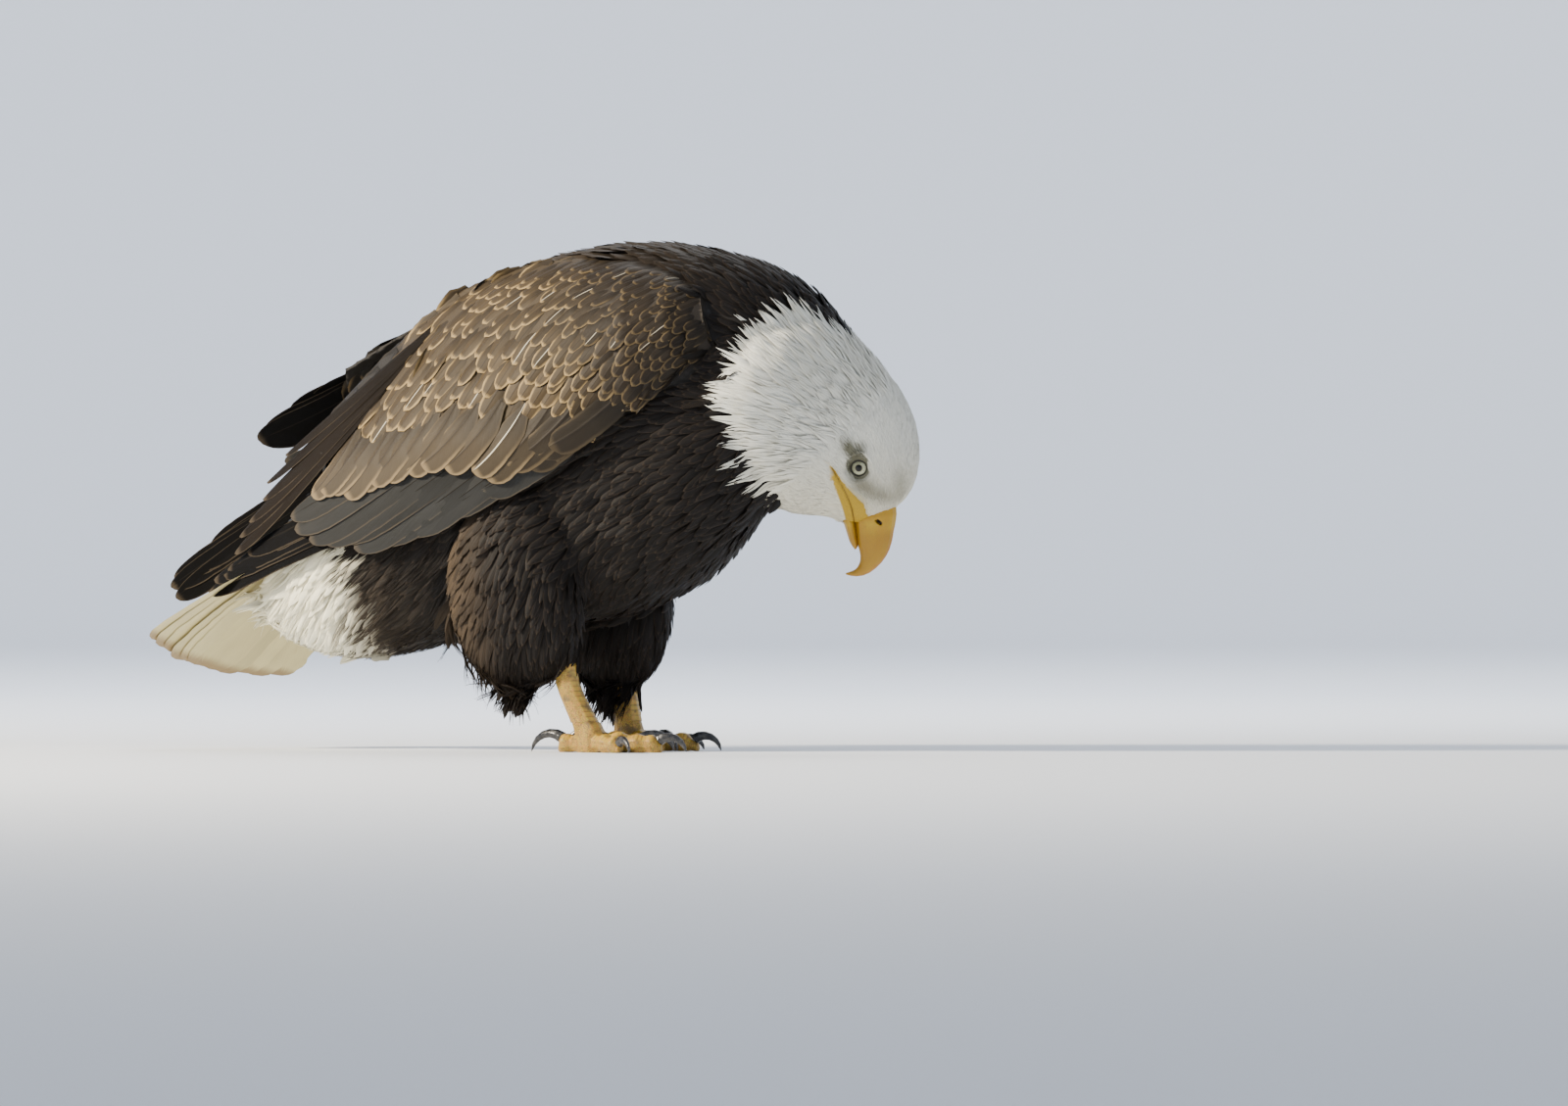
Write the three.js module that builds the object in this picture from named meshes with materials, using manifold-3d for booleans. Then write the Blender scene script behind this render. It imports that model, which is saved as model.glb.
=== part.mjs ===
// A bald eagle that stands with its head bowed, as a still, life-size model.
// Millimetres, +Z up, facing +X, standing on z = 0. Each piece is its own closed mesh.
import * as THREE from "three";
import { mergeVertices } from "three/addons/utils/BufferGeometryUtils.js";
import Module from "manifold-3d";

const wasm = await Module();
wasm.setup();

// ---------------------------------------------------------------- driving dimensions
const GAP = 0.35; // clearance that touching pieces keep
const RIGHT = -1; // the bird's right side is -Y
const LEFT = 1;
const radians = THREE.MathUtils.degToRad;

// The mid-plane of the body runs along +X, then turns left where the neck bends.
const NECK_BEND = { start: 90, end: 170, turn: radians(20) };

const EYE = { along: 221.3, height: 251.6, apart: 25.5, radius: 9.5 };
const SOCKET = { long: 13, high: 10.5, deep: 8, out: 14 }; // the hollow that an eye sits in
const FOOT_SPREAD = 50; // from the mid-plane to each foot
const SOLE_HEIGHT = 14; // height of the joint where the toes meet

// Finishes: colour, roughness.
const FINISH = {
  white: { color: 0xe9e8dc, roughness: 0.85 },
  brown: { color: 0x2c2320, roughness: 0.85 },
  covert: { color: 0x6a5a48, roughness: 0.8 },
  flight: { color: 0x4a4540, roughness: 0.7 },
  yellow: { color: 0xd9a423, roughness: 0.55 },
  horn: { color: 0xd9a02c, roughness: 0.4 },
  claw: { color: 0x17161a, roughness: 0.35 },
  eye: { color: 0xe8e3b4, roughness: 0.1 },
};

// ---------------------------------------------------------------- solids from meshes
/** A closed three.js geometry as a manifold-3d solid. */
function solidOf(geometry) {
  const bare = new THREE.BufferGeometry().setAttribute("position", geometry.getAttribute("position"));
  if (geometry.index) bare.setIndex(geometry.index);
  const merged = mergeVertices(bare, 1e-4);
  const made = new wasm.Manifold(
    new wasm.Mesh({
      numProp: 3,
      vertProperties: merged.attributes.position.array,
      triVerts: new Uint32Array(merged.index.array),
    }),
  );
  return made;
}

/** The largest separate body of a solid: slivers that a cut leaves behind are dropped. */
function largest(solid) {
  return solid.decompose().reduce((a, b) => (a.volume() > b.volume() ? a : b));
}

/** A solid less all the others. */
function less(solid, ...others) {
  return largest(others.reduce((left, other) => left.subtract(other), solid));
}

/** A mesh in the scene graph from a solid. */
function piece(name, solid, finish) {
  const { numProp, numVert, vertProperties, triVerts } = solid.getMesh();
  const position = new Float32Array(numVert * 3);
  for (let i = 0; i < numVert; i++) {
    position.set(vertProperties.subarray(i * numProp, i * numProp + 3), i * 3);
  }
  const geometry = new THREE.BufferGeometry()
    .setAttribute("position", new THREE.BufferAttribute(position, 3))
    .setIndex(new THREE.BufferAttribute(new Uint32Array(triVerts), 1));
  geometry.computeVertexNormals();
  const mesh = new THREE.Mesh(geometry, new THREE.MeshStandardMaterial(FINISH[finish]));
  mesh.name = name;
  return mesh;
}

/** A closed geometry from rings of points that join in order, with a cap on each end. */
function ringsToGeometry(rings) {
  const sides = rings[0].length;
  const points = rings.flat();
  const faces = [];
  for (let r = 0; r + 1 < rings.length; r++) {
    for (let k = 0; k < sides; k++) {
      const a = r * sides + k;
      const b = r * sides + ((k + 1) % sides);
      faces.push(a, b, b + sides, a, b + sides, a + sides);
    }
  }
  const middle = (ring) => ring.reduce((sum, p) => sum.add(p), new THREE.Vector3()).divideScalar(sides);
  const first = points.push(middle(rings[0])) - 1;
  const last = points.push(middle(rings[rings.length - 1])) - 1;
  const base = (rings.length - 1) * sides;
  for (let k = 0; k < sides; k++) {
    const next = (k + 1) % sides;
    faces.push(first, next, k);
    faces.push(last, base + k, base + next);
  }
  return new THREE.BufferGeometry().setFromPoints(points).setIndex(faces);
}

/** The same geometry with its faces turned to point out. */
function facingOut(geometry) {
  const solid = solidOf(geometry);
  if (solid.volume() >= 0) return solid;
  const index = geometry.index.array;
  for (let i = 0; i < index.length; i += 3) {
    [index[i], index[i + 1]] = [index[i + 1], index[i]];
  }
  return solidOf(geometry);
}

const signedPower = (value, power) => Math.sign(value) * Math.abs(value) ** power;

/**
 * A body lofted through sections. Each section has a top and a bottom point, a half width and the unit
 * vector that it spreads along. `grow` swells the body on every side, `square` above 2 fills its corners,
 * `phase` turns each ring by a part of a side, and `shape` has the last word on each point.
 */
function loft(sections, { rings, sides, grow = 0, square = 2, phase = 0, shape = (p) => p }) {
  const through = (key) => new THREE.CatmullRomCurve3(sections.map((s) => s[key]), false, "centripetal");
  const tops = through("top");
  const bottoms = through("bottom");
  const spreads = through("side");
  const widths = sections.map((s) => new THREE.Vector3(s.half, s.crown ?? square, 0));
  const halves = new THREE.CatmullRomCurve3(widths, false, "centripetal");
  const made = [];
  for (let r = 0; r < rings; r++) {
    const t = r / (rings - 1);
    const top = tops.getPoint(t);
    const bottom = bottoms.getPoint(t);
    const side = spreads.getPoint(t).normalize();
    const centre = top.clone().add(bottom).multiplyScalar(0.5);
    const up = top.clone().sub(bottom).multiplyScalar(0.5);
    const high = up.length() + grow;
    const wide = halves.getPoint(t).x + grow;
    const crown = halves.getPoint(t).y;
    up.normalize();
    const ahead = new THREE.Vector3().crossVectors(side, up).normalize();
    const push = r === 0 ? -grow : r === rings - 1 ? grow : 0;
    const flow = tops.getTangent(t).add(bottoms.getTangent(t));
    const shift = ahead.multiplyScalar(push * Math.sign(ahead.dot(flow) || 1));
    const ring = [];
    for (let k = 0; k < sides; k++) {
      const a = (2 * Math.PI * (k + phase)) / sides;
      const p = centre
        .clone()
        .addScaledVector(side, wide * signedPower(Math.cos(a), 2 / (Math.sin(a) > 0 ? crown : square)))
        .addScaledVector(up, high * signedPower(Math.sin(a), 2 / (Math.sin(a) > 0 ? crown : square)))
        .add(shift);
      ring.push(shape(p));
    }
    made.push(ring);
  }
  return facingOut(ringsToGeometry(made));
}

/** A point of the body: `along` the bent mid-plane, at a height, and so far to the bird's left of it. */
function bodyPoint(along, height, left = 0) {
  const { start, end, turn } = NECK_BEND;
  const radius = (end - start) / turn;
  const angle = THREE.MathUtils.clamp(along - start, 0, end - start) / radius;
  const over = Math.max(along - end, 0);
  const x = Math.min(along, start) + radius * Math.sin(angle) + over * Math.cos(angle);
  const y = radius * (1 - Math.cos(angle)) + over * Math.sin(angle);
  return new THREE.Vector3(x - left * Math.sin(angle), y + left * Math.cos(angle), height);
}

/**
 * A section of the body from its top and bottom, each [along, height], and its half width.
 * `crown` above 2 makes its upper half broader, as shoulders are.
 */
function bodySection([topAlong, topHeight], [bottomAlong, bottomHeight], half, crown = 2.1) {
  const middle = (topAlong + bottomAlong) / 2;
  return {
    top: bodyPoint(topAlong, topHeight),
    bottom: bodyPoint(bottomAlong, bottomHeight),
    half,
    crown,
    side: bodyPoint(middle, 0, 1).sub(bodyPoint(middle, 0)),
  };
}

/** The half space beyond a plane, as a large box. The plane goes through a point and faces along `normal`. */
function beyond(point, normal) {
  const size = 1200;
  const box = new THREE.BoxGeometry(size, size, size);
  const up = new THREE.Vector3(0, 0, 1);
  const turn = new THREE.Quaternion().setFromUnitVectors(up, normal.clone().normalize());
  box.translate(0, 0, size / 2);
  box.applyQuaternion(turn);
  box.translate(point.x, point.y, point.z);
  return solidOf(box);
}

// ---------------------------------------------------------------- trunk, neck and head
const TRUNK_SECTIONS = [
  bodySection([-336, 148], [-330, 118], 14),
  bodySection([-316, 196], [-300, 94], 34),
  bodySection([-262, 262], [-248, 84], 54, 2.2),
  bodySection([-200, 330], [-190, 88], 68, 2.1),
  bodySection([-120, 410], [-112, 104], 84, 2.2),
  bodySection([-45, 445], [-40, 112], 95, 2.5),
  bodySection([40, 453], [30, 125], 101, 2.7),
  bodySection([105, 445], [88, 150], 96, 2.5),
  bodySection([152, 429], [122, 186], 86, 2.2),
  bodySection([188, 407], [142, 207], 72),
  bodySection([211, 380], [155, 209], 57),
  bodySection([225, 358], [166, 214], 40),
];

const NECK_SECTIONS = [
  bodySection([108, 342], [112, 272], 96),
  bodySection([136, 388], [126, 236], 101),
  bodySection([172, 399], [140, 216], 95),
  bodySection([206, 384], [152, 211], 81),
  bodySection([234, 351], [164, 209], 64),
  bodySection([256, 326], [176, 208], 48),
  bodySection([269, 300], [187, 207], 38),
  bodySection([275, 273], [196, 205], 33.5),
  bodySection([273.5, 247], [203, 203], 28.5),
  bodySection([266, 229], [209, 201], 22),
  bodySection([254.5, 216], [212.5, 201], 15),
];
const HEAD_CUT = { along: 219, height: 285, pitch: radians(42) }; // where the head meets the neck

const RUMP_CUT = { along: -205, height: 190, pitch: radians(12) }; // where the white coverts start

/** The trunk, without the wings. */
const trunkBody = (grow) => loft(TRUNK_SECTIONS, { rings: 17, sides: 20, grow, square: 2.15 });

/** Neck and head in one, with a ridge over each eye. */
function neckAndHead(grow) {
  const core = loft(NECK_SECTIONS, { rings: 17, sides: 18, grow, square: 2.1 });
  return [RIGHT, LEFT].reduce((body, side) => body.add(browRidge(side, grow)), core);
}

/** The ridge that shades one eye, as a flattened egg along the head. */
function browRidge(side, grow) {
  const egg = new THREE.SphereGeometry(1, 8, 6);
  egg.scale(19 + grow, 6.5 + grow, 6 + grow);
  egg.rotateY(radians(68));
  const place = bodyPoint(EYE.along + 12.5, EYE.height + 1, side * 29.5);
  egg.rotateZ(NECK_BEND.turn + side * radians(-4));
  egg.translate(place.x, place.y, place.z);
  return solidOf(egg);
}

/** The hollow in front of one eye, which leaves the eyeball bare. */
function eyeSocket(side) {
  const egg = new THREE.SphereGeometry(1, 10, 8);
  egg.scale(SOCKET.long, SOCKET.deep, SOCKET.high);
  egg.rotateY(radians(62));
  egg.rotateZ(NECK_BEND.turn);
  const place = bodyPoint(EYE.along, EYE.height, side * (EYE.apart + SOCKET.out));
  egg.translate(place.x, place.y, place.z);
  return solidOf(egg);
}

/** One eyeball. */
function eyeball(side, grow) {
  const ball = new THREE.SphereGeometry(EYE.radius + grow, 12, 9);
  const place = bodyPoint(EYE.along, EYE.height, side * EYE.apart);
  ball.translate(place.x, place.y, place.z);
  return solidOf(ball);
}

// ---------------------------------------------------------------- bill
const UPPER_BILL_SECTIONS = [
  bodySection([252.5, 223], [214, 215], 13),
  bodySection([254, 212], [216, 206], 14.5),
  bodySection([253, 203], [217.2, 197.5], 13.8),
  bodySection([251.3, 194.6], [218.3, 189], 12.4),
  bodySection([248.5, 181.5], [220.6, 179.5], 10.4),
  bodySection([243.5, 171.5], [222, 172], 8.2),
  bodySection([235.2, 162.3], [221, 166.5], 5.8),
  bodySection([226, 156.6], [218.2, 161.8], 3.8),
  bodySection([216.5, 155.4], [214.2, 159.6], 2.2),
  bodySection([209, 157], [209.2, 158], 0.8),
];
const LOWER_BILL_SECTIONS = [
  bodySection([213, 222], [203, 212], 12.5),
  bodySection([216, 207], [207.5, 201.5], 12),
  bodySection([217.5, 197], [210.3, 192.5], 10.4),
  bodySection([218.6, 188.6], [213.2, 184.5], 7.6),
  bodySection([219.6, 182], [217.2, 178.8], 3.4),
];
const NOSTRIL_OUT = 14; // from the mid-plane to the middle of each nostril
const NOSTRIL = { along: 237.3, height: 202.7, long: 4.4, high: 1.5, deep: 5, tilt: radians(40) };
const CERE_CUT = { along: 236, height: 192.6, pitch: radians(80) }; // where the cere ends on the bill

const upperBill = (grow) => loft(UPPER_BILL_SECTIONS, { rings: 16, sides: 14, grow, square: 2.2 });
const lowerBill = (grow) => loft(LOWER_BILL_SECTIONS, { rings: 8, sides: 12, grow, square: 2.3 });

/** The slit of one nostril, which slants down and back across the cere. */
function nostril(side) {
  const slit = new THREE.SphereGeometry(1, 8, 6);
  slit.scale(NOSTRIL.long, NOSTRIL.deep, NOSTRIL.high);
  slit.rotateY(NOSTRIL.tilt);
  slit.rotateZ(NECK_BEND.turn);
  const place = bodyPoint(NOSTRIL.along, NOSTRIL.height, side * NOSTRIL_OUT);
  slit.translate(place.x, place.y, place.z);
  return solidOf(slit);
}

// ---------------------------------------------------------------- wings and tail
/**
 * A curved plate between two edges, each a curve of points, with its camber and its thickness, which
 * thins to `thinAt` at its end. `tip` gives how far past the end the plate reaches at each place across
 * it, from 0 at the lower edge to 1 at the upper. A low `roundness` rounds its front more.
 */
function plate(form, grow) {
  const { lower, upper, camber, thick, thinAt, across, along, outward, tip, roundness = 20 } = form;
  const low = new THREE.CatmullRomCurve3(lower, false, "centripetal");
  const high = new THREE.CatmullRomCurve3(upper, false, "centripetal");
  const faces = { outer: [], inner: [] };
  const spot = (s, v) => {
    const p = low.getPoint(s).lerp(high.getPoint(s), v);
    p.addScaledVector(outward, camber(s) * 4 * v * (1 - v));
    const flow = low.getTangent(1).lerp(high.getTangent(1), v).normalize();
    return p.addScaledVector(flow, s ** 6 * tip(v));
  };
  const step = 0.01;
  for (let i = 0; i <= along; i++) {
    for (let j = 0; j <= across; j++) {
      const s = i / along;
      const v = j / across;
      const p = spot(s, v);
      const alongWay = spot(Math.min(s + step, 1), v).sub(spot(Math.max(s - step, 0), v)).normalize();
      const acrossWay = spot(s, Math.min(v + step, 1)).sub(spot(s, Math.max(v - step, 0))).normalize();
      const normal = new THREE.Vector3().crossVectors(alongWay, acrossWay).normalize();
      if (normal.dot(outward) < 0) normal.negate();
      const blunt = Math.min(1, Math.sqrt(0.08 + s * roundness));
      const round = Math.sqrt(1 - (2 * v - 1) ** 2 * 0.93) * blunt;
      const half = 0.5 * Math.max(thick * (1 - (1 - thinAt) * s) * round, 0.8) + grow;
      const wider = grow * (2 * v - 1);
      const longer = grow * (2 * s - 1);
      p.addScaledVector(acrossWay, wider).addScaledVector(alongWay, longer);
      faces.outer.push(p.clone().addScaledVector(normal, half));
      faces.inner.push(p.clone().addScaledVector(normal, -half));
    }
  }
  return facingOut(sheetsToGeometry(faces.outer, faces.inner, along + 1, across + 1));
}

/** A closed geometry from an outer and an inner grid of points, joined round their rims. */
function sheetsToGeometry(outer, inner, rows, columns) {
  const shift = outer.length;
  const faces = [];
  const quad = (a, b, c, d) => faces.push(a, b, c, a, c, d);
  for (let i = 0; i + 1 < rows; i++) {
    for (let j = 0; j + 1 < columns; j++) {
      const a = i * columns + j;
      quad(a, a + 1, a + columns + 1, a + columns);
      quad(shift + a, shift + a + columns, shift + a + columns + 1, shift + a + 1);
    }
  }
  const rim = [];
  for (let j = 0; j + 1 < columns; j++) rim.push(j);
  for (let i = 0; i + 1 < rows; i++) rim.push(i * columns + columns - 1);
  for (let j = columns - 1; j > 0; j--) rim.push((rows - 1) * columns + j);
  for (let i = rows - 1; i > 0; i--) rim.push(i * columns);
  rim.forEach((a, k) => {
    const b = rim[(k + 1) % rim.length];
    quad(b, a, shift + a, shift + b);
  });
  return new THREE.BufferGeometry().setFromPoints([...outer, ...inner]).setIndex(faces);
}

const point = (side) => ([x, y, z]) => new THREE.Vector3(x, side * y, z);

/** The wings are alike, but the left one is held higher and further open. Points are [x, out, z]. */
const WINGS = {
  right: {
    side: RIGHT,
    arm: {
      lower: [
        [122, 84, 356], [66, 108, 308], [-20, 114, 270], [-95, 106, 242],
        [-165, 92, 222], [-210, 80, 212],
      ],
      upper: [
        [104, 60, 412], [44, 50, 434], [-40, 40, 437], [-110, 26, 423],
        [-190, 17, 376], [-262, 16, 306],
      ],
    },
    secondaries: {
      lower: [
        [-60, 102, 254], [-140, 94, 222], [-200, 82, 198], [-252, 70, 182],
      ],
      upper: [
        [-150, 22, 398], [-220, 15, 346], [-300, 16, 268], [-352, 24, 188],
      ],
    },
    primaries: {
      lower: [
        [-190, 66, 232], [-270, 58, 182], [-335, 46, 152], [-376, 34, 138],
      ],
      upper: [
        [-210, 42, 286], [-280, 40, 226], [-340, 32, 178], [-380, 26, 152],
      ],
    },
  },
  left: {
    side: LEFT,
    arm: {
      lower: [
        [122, 84, 356], [66, 108, 308], [-20, 114, 274], [-95, 108, 250],
        [-165, 98, 236], [-220, 88, 232],
      ],
      upper: [
        [104, 60, 412], [44, 50, 434], [-40, 40, 437], [-110, 28, 424],
        [-195, 23, 382], [-272, 30, 340],
      ],
    },
    secondaries: {
      lower: [
        [-60, 104, 260], [-140, 99, 238], [-215, 90, 216], [-285, 78, 202],
      ],
      upper: [
        [-150, 26, 404], [-215, 24, 375], [-290, 32, 330], [-358, 44, 284],
      ],
    },
    primaries: {
      lower: [
        [-190, 72, 246], [-280, 64, 200], [-370, 48, 158], [-436, 36, 134],
      ],
      upper: [
        [-210, 44, 296], [-290, 44, 250], [-375, 38, 198], [-440, 32, 152],
      ],
    },
  },
};

/** Scallops along the end of a plate, one for each feather tip. */
const scallops = (count, depth) => (v) => depth * Math.abs(Math.sin(Math.PI * count * v));

function wingArm({ side, arm }, grow) {
  const outward = new THREE.Vector3(0, side, 0.35).normalize();
  const camber = (s) => (26 - 12 * s) * Math.min(1, 0.4 + 4 * s);
  const edges = { lower: arm.lower.map(point(side)), upper: arm.upper.map(point(side)) };
  const tip = (v) => 22 * Math.sin(Math.PI * v) + scallops(4, 3)(v);
  const cut = { thick: 30, thinAt: 0.3, across: 8, along: 9, roundness: 6 };
  return plate({ ...edges, ...cut, camber, outward, tip }, grow);
}

function wingSecondaries({ side, secondaries }, grow) {
  const outward = new THREE.Vector3(0, side, 0.3).normalize();
  const camber = (s) => 18 - 10 * s;
  const edges = { lower: secondaries.lower.map(point(side)), upper: secondaries.upper.map(point(side)) };
  const tip = (v) => 10 * Math.sin(Math.PI * v) + scallops(4, 5)(v);
  return plate({ ...edges, camber, thick: 7, thinAt: 0.4, across: 8, along: 5, outward, tip }, grow);
}

function wingPrimaries({ side, primaries }, grow) {
  const outward = new THREE.Vector3(0, side, 0.3).normalize();
  const edges = { lower: primaries.lower.map(point(side)), upper: primaries.upper.map(point(side)) };
  const tip = (v) => 14 * v * (1 - v);
  const cut = { thick: 6, thinAt: 0.4, across: 4, along: 6 };
  return plate({ ...edges, ...cut, camber: () => 5, outward, tip }, grow);
}

/** The tail: a fan that points down and to the left, with its right edge raised. */
const TAIL = {
  root: [-225, 0, 188],
  length: 218,
  spread: radians(15), // half the angle of the fan
  rootHalf: 30,
  droop: radians(30),
  swing: radians(16.7),
  twist: radians(13.5),
  bow: 14, // how far the middle of its length stands above a straight line
  thick: 9,
  feathers: 6,
};

function tailFan(grow) {
  const { root, length, spread, rootHalf, droop, swing, twist, bow } = TAIL;
  const axis = new THREE.Vector3(-Math.cos(swing), Math.sin(swing), -Math.tan(droop)).normalize();
  const level = new THREE.Vector3(-Math.sin(swing), -Math.cos(swing), 0);
  const up = new THREE.Vector3().crossVectors(axis, level).normalize();
  const across = level.multiplyScalar(Math.cos(twist)).addScaledVector(up, Math.sin(twist)).normalize();
  const outward = new THREE.Vector3().crossVectors(axis, across).normalize();
  const edge = (sign) =>
    [0, 1 / 3, 2 / 3, 1].map((t) =>
      new THREE.Vector3(...root)
        .addScaledVector(across, sign * (rootHalf + t * length * Math.sin(spread)))
        .addScaledVector(axis, t * length * Math.cos(spread))
        .addScaledVector(up, bow * 4 * t * (1 - t)),
    );
  const tip = (v) => length * (1 - Math.cos(spread)) * 4 * v * (1 - v) + scallops(TAIL.feathers, 4)(v);
  const shape = { lower: edge(-1), upper: edge(1), camber: () => 6, thick: TAIL.thick, thinAt: 0.35 };
  return plate({ ...shape, across: 12, along: 5, outward, tip }, grow);
}

// ---------------------------------------------------------------- legs
/** A level section of a leg: its middle, half sizes along X and Y, and how much lower its rear is. */
function legSection(x, y, z, halfLong, halfWide, rearDrop = 0) {
  return {
    top: new THREE.Vector3(x + halfLong, y, z + rearDrop / 2),
    bottom: new THREE.Vector3(x - halfLong, y, z - rearDrop / 2),
    half: halfWide,
    side: new THREE.Vector3(0, 1, 0),
  };
}

const LEGS = {
  right: {
    side: RIGHT,
    foot: -4,
    thigh: [
      [-58, 52, 262, 56, 34, 0],
      [-68, 59, 205, 66, 40, 0],
      [-72, 61, 150, 66, 39, 4],
      [-70, 58, 108, 61, 33, 10],
      [-62, 55, 80, 48, 26, 18],
      [-58, 53, 65, 37, 18, 20],
      [-62, 52, 53, 20, 8, 13],
    ],
    shank: [
      [-40, 52, 98, 10, 8],
      [-31, 51.5, 70, 10.5, 8.5],
      [-20, 51, 42, 11, 9],
      [-8, 50, 20, 13, 12],
      [-4, 50, 6, 14, 13],
      [-4, 50, -2, 12, 11],
    ],
  },
  left: {
    side: LEFT,
    foot: -6,
    thigh: [
      [-50, 52, 262, 56, 34, 0],
      [-40, 59, 205, 62, 40, 0],
      [-27, 60, 150, 59, 38, 4],
      [-20, 57, 112, 52, 33, 8],
      [-18, 54, 84, 43, 27, 10],
      [-19, 52, 64, 34, 19, 8],
      [-20, 51, 50, 20, 10, 4],
    ],
    shank: [
      [-16, 51, 92, 10, 8],
      [-14, 51, 66, 10.5, 8.5],
      [-11, 50.5, 42, 11, 9],
      [-8, 50, 20, 13, 12],
      [-6, 50, 6, 14, 13],
      [-6, 50, -2, 12, 11],
    ],
  },
};

const onSide = (side) => ([x, y, z, long, wide, drop]) => legSection(x, side * y, z, long, wide, drop);
const aboveFloor = (p) => p.setZ(Math.max(p.z, 0));

function thigh({ side, thigh: sections }, grow) {
  return loft(sections.map(onSide(side)), { rings: 10, sides: 16, grow, square: 2.1 });
}

function shank({ side, shank: sections }, grow) {
  return loft(sections.map(onSide(side)), { rings: 7, sides: 10, grow, shape: aboveFloor });
}

/** Toes, counted as on any bird: 1 is the hind toe. Headings are measured outward from straight ahead. */
const TOES = [
  { number: 1, heading: radians(188), length: 34, girth: 9.2, claw: 40 },
  { number: 2, heading: radians(-36), length: 48, girth: 9.6, claw: 38 },
  { number: 3, heading: radians(-2), length: 64, girth: 9.2, claw: 33 },
  { number: 4, heading: radians(42), length: 52, girth: 8.2, claw: 27 },
];
const KNUCKLES = 2.5;
const CLAW = { rise: radians(36), fall: radians(-80), girth: 5.1, tipHeight: 0.35 };

/** Where a toe of a leg starts, and the unit vector that it points along. */
function toeAxis(leg, toe) {
  const ahead = new THREE.Vector3(Math.cos(toe.heading), leg.side * Math.sin(toe.heading), 0);
  const start = new THREE.Vector3(leg.foot, leg.side * FOOT_SPREAD, SOLE_HEIGHT - 4);
  return { start, ahead };
}

function toeBody(leg, toe, grow) {
  const { start, ahead } = toeAxis(leg, toe);
  const side = new THREE.Vector3(-ahead.y, ahead.x, 0);
  const up = new THREE.Vector3(0, 0, 1);
  const steps = 9;
  const sections = [];
  for (let i = 0; i < steps; i++) {
    const t = i / (steps - 1);
    const end = Math.sqrt(1 - Math.max(0, (t - 0.86) / 0.14) ** 2 * 0.75);
    const girth = toe.girth * (1 - 0.18 * t) * (1 + 0.09 * Math.cos(2 * Math.PI * KNUCKLES * t)) * end;
    const centre = start.clone().addScaledVector(ahead, t * toe.length);
    centre.z = girth * 0.86 + 2 * (1 - t);
    sections.push({
      top: centre.clone().addScaledVector(up, girth),
      bottom: centre.clone().addScaledVector(up, -girth),
      half: girth * 0.96,
      side,
    });
  }
  return loft(sections, { rings: 8, sides: 8, grow, phase: 0.5, shape: aboveFloor });
}

function clawBody(leg, toe, grow) {
  const { start, ahead } = toeAxis(leg, toe);
  const side = new THREE.Vector3(-ahead.y, ahead.x, 0);
  const bow = toe.claw / (CLAW.rise - CLAW.fall);
  const girthScale = 0.72 + 0.28 * (toe.claw / 40);
  const drop = bow * (Math.cos(CLAW.fall) - Math.cos(CLAW.rise));
  const root = start.clone().addScaledVector(ahead, toe.length - 3);
  root.z = CLAW.tipHeight - drop;
  const steps = 7;
  const sections = [];
  for (let i = 0; i < steps; i++) {
    const t = i / (steps - 1);
    const angle = CLAW.rise + (CLAW.fall - CLAW.rise) * t;
    const centre = root
      .clone()
      .addScaledVector(ahead, bow * (Math.sin(CLAW.rise) - Math.sin(angle)))
      .add(new THREE.Vector3(0, 0, bow * (Math.cos(angle) - Math.cos(CLAW.rise))));
    const normal = ahead.clone().multiplyScalar(-Math.sin(angle)).setZ(Math.cos(angle));
    const girth = CLAW.girth * girthScale * (1 - t) ** 0.75 + 0.45;
    sections.push({
      top: centre.clone().addScaledVector(normal, girth),
      bottom: centre.clone().addScaledVector(normal, -girth),
      half: girth * 0.8,
      side,
    });
  }
  return loft(sections, { rings: 7, sides: 6, grow, shape: aboveFloor });
}

// ---------------------------------------------------------------- assembly
const eagle = new THREE.Group();

/** Adds a piece to the eagle. */
function add(name, solid, finish) {
  eagle.add(piece(name, solid, finish));
}

function addHeadAndNeck() {
  const eyes = { right: eyeball(RIGHT, GAP), left: eyeball(LEFT, GAP) };
  const hollow = neckAndHead(0).subtract(eyeSocket(RIGHT)).subtract(eyeSocket(LEFT));
  const whole = hollow.subtract(eyes.right).subtract(eyes.left);
  const cut = bodyPoint(HEAD_CUT.along, HEAD_CUT.height);
  const facing = bodyPoint(HEAD_CUT.along + 1, HEAD_CUT.height).sub(cut);
  const normal = facing.multiplyScalar(Math.sin(HEAD_CUT.pitch)).setZ(-Math.cos(HEAD_CUT.pitch));
  const inHead = beyond(cut, normal);
  const inNeck = beyond(cut.clone().addScaledVector(normal, -GAP), normal.clone().negate());
  add("neck", less(whole.intersect(inNeck)), "white");
  add("head", less(whole.intersect(inHead), upperBill(GAP), lowerBill(GAP)), "white");
  add("eye_right", eyeball(RIGHT, 0), "eye");
  add("eye_left", eyeball(LEFT, 0), "eye");
}

function addBill() {
  const cut = bodyPoint(CERE_CUT.along, CERE_CUT.height);
  const facing = bodyPoint(CERE_CUT.along + 1, CERE_CUT.height).sub(cut);
  const normal = facing.multiplyScalar(Math.cos(CERE_CUT.pitch)).setZ(-Math.sin(CERE_CUT.pitch));
  const inBill = beyond(cut, normal);
  const inCere = beyond(cut.clone().addScaledVector(normal, -GAP), normal.clone().negate());
  add("cere", less(upperBill(0).intersect(inCere), nostril(RIGHT), nostril(LEFT)), "yellow");
  add("bill_upper", less(upperBill(0).intersect(inBill)), "horn");
  add("bill_lower", less(lowerBill(0), upperBill(GAP)), "horn");
}

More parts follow.
